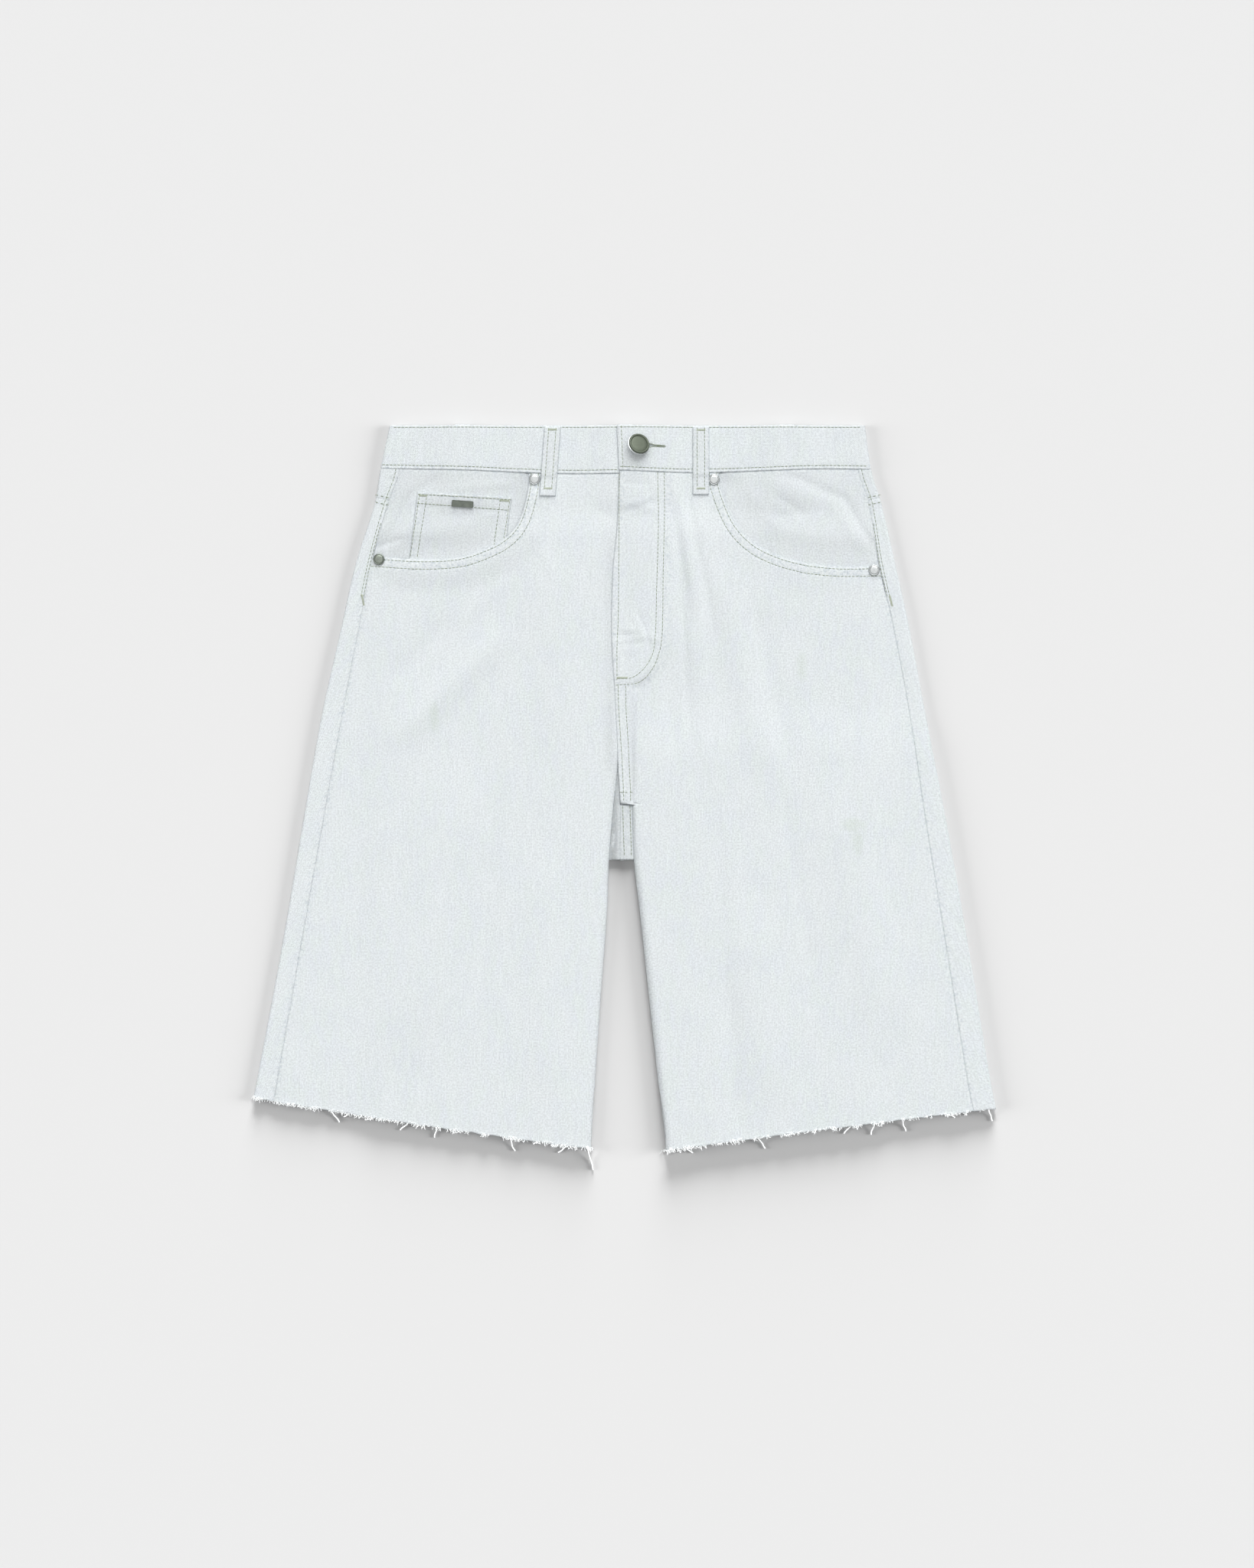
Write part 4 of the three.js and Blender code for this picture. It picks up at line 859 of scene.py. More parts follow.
def worn_at(across, down):
    rubbed = [1 - smooth(0.55, 1.15, np.hypot((across - x) / wide, (down - y) / long)) for x, y, wide, long in WORN_SPOTS]
    return np.max(rubbed, axis=0)


def painted_seam_shadow(distance, depth=0.4, reach=1.5):
    """Painted shadow: the dark line beside a seam, where the cloth dives into it."""
    return -depth * (1 - smooth(0, reach, distance))


def front_tone(side, across, down):
    """Painted shade beside the seams, the fly, the rise and the pocket mouth, and a lighter hem, partly the paler raw
    edge and partly painted light.
    """
    # painted shadow along the waist seam and the side seam
    seams = np.minimum(painted_seam_shadow(down - waist_down(side, across)),
                       painted_seam_shadow(seam_out(side, down) - side.hand * across, 0.16))
    # painted shade left of the fly edge and right of the rise rows, where the lapped cloth throws shade
    beside_fly = np.exp(-(((across + 11.5) / 5) ** 2)) * smooth(70, 120, down) * (1 - smooth(285, 315, down))
    beside_rise = np.exp(-(((across - 9) / 2.6) ** 2)) * smooth(225, 250, down) * (1 - smooth(305, 330, down))
    # painted shade right at the pocket mouth, which dims its lit rim
    mouth_edge = -0.06 * (1 - smooth(0, 1.8, -mouth_distance(side, across, down)))
    # lighter along the hem: partly the paler raw edge, partly painted light on its shaded rim
    hem_edge = 0.035 * (1 - smooth(0, 4, hem_down(side, across) - down))
    return seams + mouth_edge + hem_edge - (0.09 * beside_fly if side is RIGHT else 0.08 * beside_rise)


def hem_wave(across):
    return 0.35 * ripple(across, 0 * across, 14, 41) + 0.2 * ripple(across, 0 * across, 4, 42)


def front_panel(side):
    mouth = MOUTH[side.name]
    waist_from = float(rise_across(side, waist_down(side, 0)))
    waist_to = mouth[0][0]

    def seam_line(down):
        return side.hand * (seam_out(side, down) - SIDE_GAP)

    def top(u):
        on_mouth = at_share(mouth, np.clip((u - MOUTH_SHARE) / (1 - MOUTH_SHARE), 0, 1))
        out = np.minimum(side.hand * on_mouth[:, 0], side.hand * seam_line(on_mouth[:, 1]) - 25 * (1 - u))
        mouth_down = np.maximum(on_mouth[:, 1], waist_down(side, on_mouth[:, 0]) + SEAM_GAP)
        across = mix(waist_from, waist_to, np.clip(u / MOUTH_SHARE, 0, 1))
        waist = np.stack([across, waist_down(side, across) + SEAM_GAP], axis=1)
        return np.where((u > MOUTH_SHARE)[:, None], np.stack([side.hand * out, mouth_down], axis=1), waist)

    hem_end = float(seam_line(584))
    for _ in range(4):
        hem_end = float(seam_line(hem_down(side, hem_end) - HEM_CUT))
    hem_start = float(inner_leg(side, 623))

    def foot(u):
        across = mix(hem_start, hem_end, u)
        return np.stack([across, hem_down(side, across) - HEM_CUT + hem_wave(across)], axis=1)

    start = float(top(np.array([0.0]))[0, 1])
    finish = float(foot(np.array([0.0]))[0, 1])

    def inner_parts(v):
        above = mix(start, CROTCH_DOWN, np.clip(v / CROTCH_SHARE, 0, 1))
        below = mix(CROTCH_DOWN, finish, np.clip((v - CROTCH_SHARE) / (1 - CROTCH_SHARE), 0, 1))
        leg = mix(inner_leg(side, below), hem_start, smooth(0.9, 1, v))
        on_rise = v <= CROTCH_SHARE
        return rise_across(side, above), leg, np.where(on_rise, above, below), on_rise

    def inner(v):
        """The inner edge with its step at the crotch eased over a longer way."""
        rise, leg, down, _on_rise = inner_parts(v)
        return np.stack([mix(rise, leg, smooth(CROTCH_DOWN - 60, CROTCH_DOWN + 60, down)), down], axis=1)

    def inner_step(v):
        """What the true edge adds to the eased one."""
        rise, leg, down, on_rise = inner_parts(v)
        return np.where(on_rise, rise, leg) - mix(rise, leg, smooth(CROTCH_DOWN - 60, CROTCH_DOWN + 60, down))

    corner = top(np.array([1.0]))[0, 1]
    last = foot(np.array([1.0]))[0, 1]

    def outer(v):
        down = mix(corner, last, v)
        return np.stack([seam_line(down), down], axis=1)

    us = np.concatenate([[0, 0.0012, 0.003, 0.005], np.linspace(0.008, 0.16, 34), np.linspace(0.165, 0.985, 84), [0.99, 0.995, 1]])
    us = np.sort(np.append(us, MOUTH_SHARE))
    vs = np.concatenate([np.arange(0, 14, 1.0) / FRONT_LENGTH, np.linspace(14 / FRONT_LENGTH, 0.994, 216), [0.996, 0.998, 1]])
    vs = np.unique(np.append(vs, [CROTCH_SHARE, CROTCH_SHARE + 0.003]))
    plan = patch(top, foot, inner, outer, us, vs)
    across, down = plan[..., 0], plan[..., 1]
    across = across + inner_step(vs)[:, None] * (1 - smooth(0, 0.12, us))[None, :]
    fan = FAN * (1 - np.exp(-vs / 0.02)) * (1 - smooth(0.1, 0.9, vs))
    fan_across = smooth(0.1, MOUTH_SHARE, us) * (1 - smooth(MOUTH_SHARE - 0.02, 0.75, us))
    across = across - side.hand * fan[:, None] * fan_across[None, :]
    level = front_surface(side, across, down)
    near_mouth = np.abs(-mouth_distance(side, across, down) - 5)
    seam = np.maximum(1 - smooth(3.5, 7.5, near_mouth), 0.8 * (1 - smooth(0, 7, down - waist_down(side, across))))
    seam = np.maximum(seam, 0.9 * (1 - smooth(0, 7, seam_out(side, down) - side.hand * across)))
    seam = np.maximum(seam, 0.25 * (1 - smooth(0, 5, hem_down(side, across) - down)))
    if side is LEFT:
        rows = np.abs(near_path(J_STITCH, across, down) + 3)
        seam = np.maximum(seam, 0.7 * (1 - smooth(2.5, 6, rows)))
        seam = np.maximum(seam, 0.8 * (1 - smooth(0, 6, np.abs(across - rise_across(side, down) - 2))) * (down < CROTCH_DOWN))
    marks = {"seam": seam, "tone": front_tone(side, across, down), "worn": worn_at(across, down)}
    return cloth_object("denim_front_" + side.name, wall(across, down, level, CLOTH, **marks))


fronts = {side.name: front_panel(side) for side in SIDES}

# %% [markdown]
# ## Back panels and yokes
# The back of baggy jeans is wider than the front, so when they lie flat the back cloth wraps
# round the outer edge and the side seam lies on top. Each back panel is one sheet: flat below,
# round the edge in a half turn, then in over the top to the seam. A share `u` from 0 to 1 walks
# along that section. Under the crotch the cloth folds forward and comes up between the legs.

# %% Back panels
FLAT = 0.72            # share of the section that lies flat below
TURN_END = 0.88
TURN_RADIUS = (FRONT_LEVEL - BACK_LEVEL) / 2
SECTION = np.concatenate([
    [0, 0.003], np.linspace(0.007, 0.71, 84), np.linspace(FLAT, TURN_END, 12), np.linspace(0.89, 0.985, 8), [0.992, 1],
])


# Short creases where the yoke seam meets the side seam
WRAP_CREASES = table(
    "across down long wide height turn",
    (-205, 46.5, 18, 1.8, -0.4, 84),
    (-208, 73, 16, 1.7, -0.35, 80),
    (210, 50, 14, 1.8, -0.3, 96),
)


def wrap_surface(side, across, down):
    """The back cloth where it lies on top, which meets the front at the side seam."""
    inside = edge_out(side, down) - side.hand * across
    seam = seam_out(side, down) - SIDE_GAP - side.hand * across
    fine = crumple(across, down) + pucker(seam, down, 5, 0.05) - 0.3 * (1 - smooth(0, 1.8, np.abs(seam)))
    fine += fold_heights(WRAP_CREASES, across, down)
    return front_level(side, across, down) + fine * smooth(3, 9, inside)


def wrapped(side, inner, down, u):
    flat_end = edge_out(side, down) - CLOTH / 2 - TURN_RADIUS
    turn = math.pi * np.clip((u - FLAT) / (TURN_END - FLAT), 0, 1)
    over = mix(flat_end, seam_out(side, down), np.clip((u - TURN_END) / (1 - TURN_END), 0, 1))
    out = np.where(u < TURN_END, flat_end + TURN_RADIUS * np.sin(turn), over)
    across = np.where(u <= FLAT, mix(inner, side.hand * flat_end, u / FLAT), side.hand * out)
    below = BACK_LEVEL + lift(across, down)
    around = BACK_LEVEL + TURN_RADIUS * (1 - np.cos(turn))
    level = np.where(u <= FLAT, below, np.where(u < TURN_END, around, wrap_surface(side, across, down)))
    return across, level


def back_cloth(side, inner_at, top_down, foot_down, vs, us):
    """Back cloth between two lines that depend on how far out a point is."""
    v, u = np.meshgrid(vs, us, indexing="ij")
    zero = np.zeros_like(v)
    inner = inner_at(mix(top_down(zero, zero), foot_down(zero), v))
    down = mix(top_down(zero, u), foot_down(zero), v)
    for _ in range(8):
        across, _level = wrapped(side, inner, down, u)
        down = mix(top_down(side.hand * across, u), foot_down(side.hand * across), v)
    across, level = wrapped(side, inner, down, u)
    turned = np.clip((u - FLAT) / (TURN_END - FLAT), 0, 1) * math.pi * TURN_RADIUS
    beyond = np.clip(u - TURN_END, 0, 1) / (1 - TURN_END) * 14
    flat = np.where(u <= FLAT, side.hand * across, edge_out(side, down) - 2.2 + turned + beyond)
    return across, down, level, np.stack([side.hand * flat, -down], axis=-1) * MM


def seat_edge(side, down):
    return seat_across(down) + side.hand * SEAM_GAP / 2


def back_seam_mark(side, across, down, level):
    on_top = smooth(2.0, 3.2, level)
    return 0.9 * (1 - smooth(0, 7, side.hand * across - seam_out(side, down))) * on_top


def crotch_fold(side):
    low = BACK_LEVEL
    high = 2.9 if side is LEFT else 2.4
    radius = (high - low) / 2
    centre = CROTCH_FOLD_DOWN - radius - CLOTH / 2
    turn = np.linspace(0, math.pi, 11)
    top = 286 if side is RIGHT else CROTCH_DOWN + 2.4
    over = np.linspace(365, top, 34 if side is RIGHT else 16)
    down = np.concatenate([[CROTCH_FOLD_DOWN - 7], centre + radius * np.sin(turn), over])
    rise = high + 0.5 * (1 - smooth(CROTCH_DOWN, 350, over)) * smooth(300, CROTCH_DOWN, over)
    level = np.concatenate([[low], low + radius * (1 - np.cos(turn)), rise])
    start = seat_across(CROTCH_FOLD_DOWN) + side.hand * SEAM_GAP / 2
    end = np.where(down < CROTCH_DOWN, rise_across(side, down), inner_leg(side, down)) - side.hand * 0.7
    across = mix(start, end[:, None], np.linspace(0, 1, 9)[None, :])
    down = np.broadcast_to(down[:, None], across.shape)
    level = level[:, None] + 0.25 * ripple(across, down, 9, 51, (1, 1.4)) * smooth(2.0, 2.4, level[:, None])
    shadow = -0.1 - 0.34 * (1 - smooth(-9.5, -2.5, across)) * smooth(2.0, 2.3, level)
    shadow = shadow - 0.12 * np.exp(-(((down - CROTCH_DOWN) / 0.7) ** 2))
    return wall(across, down, level, CLOTH * 0.94, toward=-1, seam=0.4, tone=shadow)


def back_panel(side):
    def top(out, _u=None):
        return yoke_down(side, out) + SEAM_GAP / 2

    def foot(out):
        return hem_down(side, side.hand * out) - HEM_CUT + hem_wave(side.hand * out)

    def inner(down):
        return np.where(down < CROTCH_FOLD_DOWN + 0.5, seat_edge(side, down), inner_leg(side, down))

    crotch = float((CROTCH_FOLD_DOWN - top(0)) / (foot(np.array(0.0)) - top(0)))
    vs = np.unique(np.concatenate([spread(540, 2.6), [crotch, crotch + 0.002]]))
    across, down, level, uv = back_cloth(side, inner, top, foot, vs, SECTION)
    seam = np.maximum(back_seam_mark(side, across, down, level), 0.7 * (1 - smooth(0, 8, down - top(side.hand * across))))
    seam = np.maximum(seam, 0.8 * (1 - smooth(0, 7, side.hand * (across - seat_edge(side, down)))) * (down < CROTCH_FOLD_DOWN))
    panel = wall(across, down, level, CLOTH, uv=uv, toward=-1, seam=seam, tone=0)
    return cloth_object("denim_back_" + side.name, panel, crotch_fold(side))


def back_yoke(side):
    def top(out, u):
        over = np.clip((u - FLAT) / (TURN_END - FLAT), 0, 1)
        return mix(BAND_DEPTH, waist_down(side, side.hand * out), over) + SEAM_GAP

    def foot(out):
        return yoke_down(side, out) - SEAM_GAP / 2

    def inner(down):
        return seat_edge(side, down)

    across, down, level, uv = back_cloth(side, inner, top, foot, spread(40, 2.2), SECTION)
    seam = np.maximum(back_seam_mark(side, across, down, level), 0.8 * (1 - smooth(0, 7, foot(side.hand * across) - down)))
    yoke = wall(across, down, level, CLOTH, uv=uv, toward=-1, seam=seam, tone=-0.02)
    return cloth_object("denim_yoke_" + side.name, yoke)


backs = {side.name: back_panel(side) for side in SIDES}
yokes = {side.name: back_yoke(side) for side in SIDES}

# %% [markdown]
# ## Waistband
# The band is one long strip, folded along its top edge, with the raw edges turned in. Its right
# end runs under the left one, then it goes round the back and returns to the front. A buttonhole
# with a round eye is cut through the upper end by a boolean, which keeps the UV of the cloth.

# %% Waistband
BAND_RADIUS = (FRONT_LEVEL - BAND_BACK_LEVEL) / 2
EYELET = (12.6, 16.6)          # where the shank comes through, across and down
EYELET_RADIUS = 3.4
SLIT_LENGTH = 22
SLIT_WIDTH = 0.6
SLIT_OPEN = 3.2                # how far the button pulls its lips apart
SLIT_TURN = 3.8                # it slants down a little


def band_grid():
    flat_end = {side.name: float(edge_out(side, 0)) - BAND / 2 - BAND_RADIUS for side in SIDES}
    right_end, left_end = flat_end["right"], flat_end["left"]
    turns = np.linspace(0, 1, 9)[1:-1]
    runs = [
        ("front", RIGHT, np.linspace(UNDERLAP_END, -right_end, 100)),
        ("turn", RIGHT, turns),
        ("back", RIGHT, np.linspace(-right_end, -1.5, 70)),
        ("back", LEFT, np.linspace(1.5, left_end, 72)),
        ("turn", LEFT, turns[::-1]),
        ("front", LEFT, np.linspace(left_end, -4.0, 110)),
        ("flap", LEFT, np.array([0.0])),
    ]
    share = spread(BAND_DEPTH, 1.6, 0.7, 2.8)[:, None]
    columns, along = [], 0.0
    for face, side, spots in runs:
        spots = spots[None, :]
        edge_foot = waist_down(side, side.hand * 205)
        if face == "turn":
            foot = mix(edge_foot, BAND_DEPTH, spots)
        elif face == "back":
            foot = BAND_DEPTH + 0 * spots
        else:
            foot = waist_down(side, FLAP_FOOT if face == "flap" else spots) + 0 * spots
        down = foot * share
        ends = edge_out(side, down) - BAND / 2 - BAND_RADIUS
        if face == "turn":
            turn = math.pi * spots
            across = side.hand * (ends + BAND_RADIUS * np.sin(turn))
            level = FRONT_LEVEL - BAND_RADIUS * (1 - np.cos(turn)) + 0 * down
            run = BAND_RADIUS * turn * (1 if side is RIGHT else -1)
        else:
            stretch = (ends / flat_end[side.name] - 1) * smooth(150, flat_end[side.name], np.abs(spots))
            across = mix(FLAP_TOP, FLAP_FOOT, share) if face == "flap" else spots * (1 + stretch)
            level = BAND_BACK_LEVEL + lift(across, down) if face == "back" else band_surface(side, across, down)
            run = spots
        lengths = np.abs(run - run[0, 0])
        uv = np.stack([along + lengths + 0 * down, -down], axis=-1)
        along += float(lengths.max()) + 2
        columns.append(np.concatenate([np.stack([across, down, level], axis=-1), uv], axis=-1))
    return np.concatenate(columns, axis=1)


def buttonhole_cutter():
    """An upright pin and a thin blade that together cut a keyhole through the flap."""
    level = float(band_level(LEFT, *EYELET)) - BAND / 2 - SEAM_GAP / 2
    cutter = bmesh.new()
    round_part = bmesh.ops.create_cone(cutter, cap_ends=True, segments=24, radius1=EYELET_RADIUS * MM,
                                       radius2=EYELET_RADIUS * MM, depth=2 * BAND * MM)["verts"]
    bmesh.ops.translate(cutter, verts=round_part, vec=Vector(place(*EYELET, level + BAND)))
    blade = bmesh.ops.create_cube(cutter, size=1.0)["verts"]
    for corner in blade:
        if corner.co.x < 0:
            corner.co.y *= SLIT_OPEN / SLIT_WIDTH
    bmesh.ops.scale(cutter, verts=blade, vec=(SLIT_LENGTH * MM, SLIT_WIDTH * MM, 2 * BAND * MM))
    bmesh.ops.translate(cutter, verts=blade, vec=(SLIT_LENGTH / 2 * MM, 0, 0))
    bmesh.ops.rotate(cutter, verts=blade, matrix=Matrix.Rotation(-math.radians(SLIT_TURN), 3, "Z"))
    bmesh.ops.translate(cutter, verts=blade, vec=Vector(place(*EYELET, level + BAND)))
    mesh = bpy.data.meshes.new("buttonhole_cutter")
    cutter.to_mesh(mesh)
    cutter.free()
    blade_object = bpy.data.objects.new("buttonhole_cutter", mesh)
    bpy.context.scene.collection.objects.link(blade_object)
    return blade_object


def applied(piece):
    """Turns a piece with modifiers into a plain mesh."""
    graph = bpy.context.evaluated_depsgraph_get()
    mesh = bpy.data.meshes.new_from_object(piece.evaluated_get(graph))
    piece.modifiers.clear()
    piece.data = mesh
    return piece


grid = band_grid()
band_across, band_down = grid[..., 0], grid[..., 1]
foot_line = grid[-1:, :, 1]
band_seam = np.maximum(1 - smooth(0, 8, foot_line - band_down), 0.7 * (1 - smooth(0, 5, band_down)))
waistband = cloth_object("denim_waistband", wall(
    band_across, band_down, grid[..., 2], BAND, uv=grid[..., 3:] * MM, toward=1, rim=0.15, seam=band_seam, tone=0,
))
cutter = buttonhole_cutter()
cut = waistband.modifiers.new("buttonhole", "BOOLEAN")
cut.operation = "DIFFERENCE"
cut.solver = "EXACT"
cut.use_self = True
cut.object = cutter
applied(waistband)
bpy.data.objects.remove(cutter)
print("waistband after the buttonhole:", len(waistband.data.polygons), "faces")

# %% [markdown]
# ## Pocket facings and the coin pocket
# Inside each pocket mouth shows the facing, a separate piece of the same denim that runs on
# under the front. On the wearer's right it carries the small fifth pocket. Both go a few
# millimetres under the mouth, as the real ones do.

# %% Facings and coin pocket
FACING_TUCK = 7
FACING_CORNER = 0.55
COIN_POCKET = {"top_outer": (-178, 57.8), "top_inner": (-97.8, 62.2), "foot_outer": -185.6, "foot_inner": -102.6, "tuck": 4.5}


def pocket_facing(side):
    mouth = MOUTH[side.name]
    along = tangents(mouth)

    def under(t):
        t = np.asarray(t, float)
        point, tangent = at_share(mouth, t), at_share(along, t)
        across = point[:, 0] - side.hand * tangent[:, 1] * FACING_TUCK * (1 - smooth(0.9, 1, t))
        down = point[:, 1] + side.hand * tangent[:, 0] * FACING_TUCK * smooth(0, 0.1, t)
        return np.stack([across, np.maximum(down, waist_down(side, across) + SEAM_GAP)], axis=1)

    def seam_line(down):
        return side.hand * (seam_out(side, down) - SIDE_GAP)

    waist_start = under([0.0])[0, 0]
    waist_end = float(seam_line(waist_down(side, side.hand * 196)))
    last = under([1.0])[0]

    def top(u):
        across = mix(waist_start, waist_end, u)
        return np.stack([across, waist_down(side, across) + SEAM_GAP], axis=1)

    def inner(v):
        return np.where((v == 0)[:, None], top(np.array([0.0])), under(v * FACING_CORNER))

    def foot(u):
        ends = np.array([[float(seam_line(last[1])), last[1]]])
        return np.where((u == 1)[:, None], ends, under(FACING_CORNER + u * (1 - FACING_CORNER)))

    def outer(v):
        down = mix(top(np.array([1.0]))[0, 1], last[1], v)
        return np.stack([seam_line(down), down], axis=1)

    shares = spread(110, 1.8)
    plan = patch(top, foot, inner, outer, shares, shares)
    across, down = plan[..., 0], plan[..., 1]
    seam = np.maximum(0.9 * (1 - smooth(0, 6, down - waist_down(side, across))),
                      0.9 * (1 - smooth(0, 6, seam_out(side, down) - side.hand * across)))
    # The facings are darker than the legs, partly their own tone and partly painted shade, and darker still near the
    # mouth, painted shade under the front's edge; the seam lines are painted shadow
    tone = (-0.065 if side is RIGHT else -0.03) - 0.05 * (1 - smooth(0, 12, mouth_distance(side, across, down)))
    tone = tone + painted_seam_shadow(down - waist_down(side, across), 0.26) + painted_seam_shadow(seam_out(side, down) - side.hand * across, 0.16)
    return cloth_object("denim_facing_" + side.name,
                        wall(across, down, facing_surface(side, across, down), CLOTH, seam=seam, tone=tone))


def coin_pocket_panel():
    mouth = MOUTH["right"]

    def under(across):
        across = np.atleast_1d(np.asarray(across, float))
        nearest = np.abs(mouth[None, :, 0] - across[:, None]).argmin(1)
        return mouth[nearest, 1] + COIN_POCKET["tuck"]

    def line(start, end, t):
        return np.stack([mix(start[0], end[0], t), mix(start[1], end[1], t)], axis=1)

    inner_foot = (COIN_POCKET["foot_inner"], float(under(COIN_POCKET["foot_inner"])[0]))
    outer_foot = (COIN_POCKET["foot_outer"], float(under(COIN_POCKET["foot_outer"])[0]))

    def foot(u):
        across = mix(inner_foot[0], outer_foot[0], u)
        return np.stack([across, under(across)], axis=1)

    shares = spread(80, 1.5, 0.7, 2.8)
    plan = patch(
        lambda u: line(COIN_POCKET["top_inner"], COIN_POCKET["top_outer"], u), foot,
        lambda v: line(COIN_POCKET["top_inner"], inner_foot, v),
        lambda v: line(COIN_POCKET["top_outer"], outer_foot, v), shares, shares,
    )
    across, down = plan[..., 0], plan[..., 1]
    u, v = np.meshgrid(shares, shares)
    rows = down - mix(58, 62.4, (across + 178) / 80)
    level = coin_surface(across, down) + groove(rows - 1.6) + groove(rows - 9.4) - 0.25 * np.exp(-(((rows - 12) / 1.8) ** 2))
    level += 0.12 * ripple(across, down, 22, 61)
    seam = 1 - smooth(1, 7, np.minimum(np.minimum(u, 1 - u) * 80, rows))
    # Darker than the legs, like the facing below it: partly its own tone, partly painted shade
    return cloth_object("denim_coin_pocket", wall(across, down, level, CLOTH, seam=seam, tone=-0.065))


facings = {side.name: pocket_facing(side) for side in SIDES}
coin_pocket = coin_pocket_panel()

# %% [markdown]
# ## Back pockets and belt loops
# Two plain patch pockets lie under the back. The loops are folded strips, stitched down near
# both edges, which makes their middle stand a little proud.

# %% Back pockets and loops
FRONT_LOOPS = {
    "loop_front_right": {"side": RIGHT, "top": -61.9, "foot": -66.2, "start": 1.5, "end": 60.4, "width": 13.2},
    "loop_front_left": {"side": LEFT, "top": 66.0, "foot": 66.0, "start": 1.3, "end": 59.1, "width": 13.2},
}


def pocket_point(side, u, v):
    """A place on a back pocket, from -1 to 1 across it and 0 to 1 down it."""
    pocket = BACK_POCKET
    turn = math.radians(pocket.tilt)
    x = u * (pocket.width / 2 - pocket.taper * v)
    y = v * (pocket.side_length + pocket.point_drop * (1 - np.abs(u)))
    out = pocket.across + x * math.cos(turn) + y * math.sin(turn)
    return side.hand * out, pocket.down - x * math.sin(turn) + y * math.cos(turn)


def back_pocket(side):
    shares = spread(160, 4)
    v, u = np.meshgrid(shares, np.unique(np.append(shares * 2 - 1, 0.0).round(6)), indexing="ij")
    across, down = pocket_point(side, u, v)
    seam = 0.9 * (1 - smooth(0, 7, np.minimum((1 - np.abs(u)) * 80, np.minimum(v, 1 - v) * 150)))
    return cloth_object("denim_back_pocket_" + side.name, wall(across, down, CLOTH / 2, CLOTH, toward=-1, seam=seam, tone=0))


def front_loop_level(loop, across, down, t, u):
    ground = np.maximum(top_of(loop["side"], across, down), top_of(loop["side"], across, down - 1.5))
    bulge = 0.3 * np.sin(math.pi * t) + 0.02
    crown = 0.22 * np.cos(math.pi * u / 2) - 0.12 * np.exp(-(((np.abs(u) - 0.72) / 0.12) ** 2))
    return ground + SEAM_GAP + LOOP / 2 + bulge + crown


def front_loop(name):
    loop = FRONT_LOOPS[name]
    t, u = np.meshgrid(spread(60, 1.2, 0.6, 2.4), np.linspace(-1, 1, 17), indexing="ij")
    across = mix(loop["top"], loop["foot"], t) + u * loop["width"] / 2
    down = mix(loop["start"], loop["end"], t)
    level = front_loop_level(loop, across, down, t, u)
    return cloth_object("denim_" + name, wall(across, down, level, LOOP, rim=0.25, seam=0.75 * np.abs(u), tone=-0.02))


def back_loop(name):
    down, u = np.meshgrid(np.linspace(-1, BACK_LOOP_LENGTH, 30), np.linspace(-1, 1, 9), indexing="ij")
    across = BACK_LOOPS[name] + u * BACK_LOOP_WIDTH / 2
    return cloth_object("denim_" + name, wall(across, down, LOOP / 2, LOOP, toward=-1, rim=0.25, seam=0.75 * np.abs(u), tone=0.01))


back_pockets = {side.name: back_pocket(side) for side in SIDES}
loops = {name: front_loop(name) for name in FRONT_LOOPS}
loops.update({name: back_loop(name) for name in BACK_LOOPS})

# %% [markdown]
# ## One tree for all stitches
# A row of topstitching is a line on the cloth with a short arch of thick thread every 3.2 mm,
# whose ends dive into it. Bartacks and the buttonhole are the same thread, packed tightly and
# turned across their line. One Geometry Nodes tree makes them all: it walks along curves, puts a
# stitch at each step, and lets its size, pitch and turn be inputs.

# %% Stitch tree
STITCH_PITCH = 3.2
THREAD = 0.6               # across the thread, which is ticket 30 core-spun polyester


def group_sockets(tree, inputs, output="Stitches"):
    """Named inputs and one geometry output for a tree, and the node that gives the inputs."""
    made = {name: tree.interface.new_socket(name, in_out="INPUT", socket_type=kind) for name, kind in inputs}
    tree.interface.new_socket(output, in_out="OUTPUT", socket_type="NodeSocketGeometry")
    return made, add_node(tree, "NodeGroupInput")


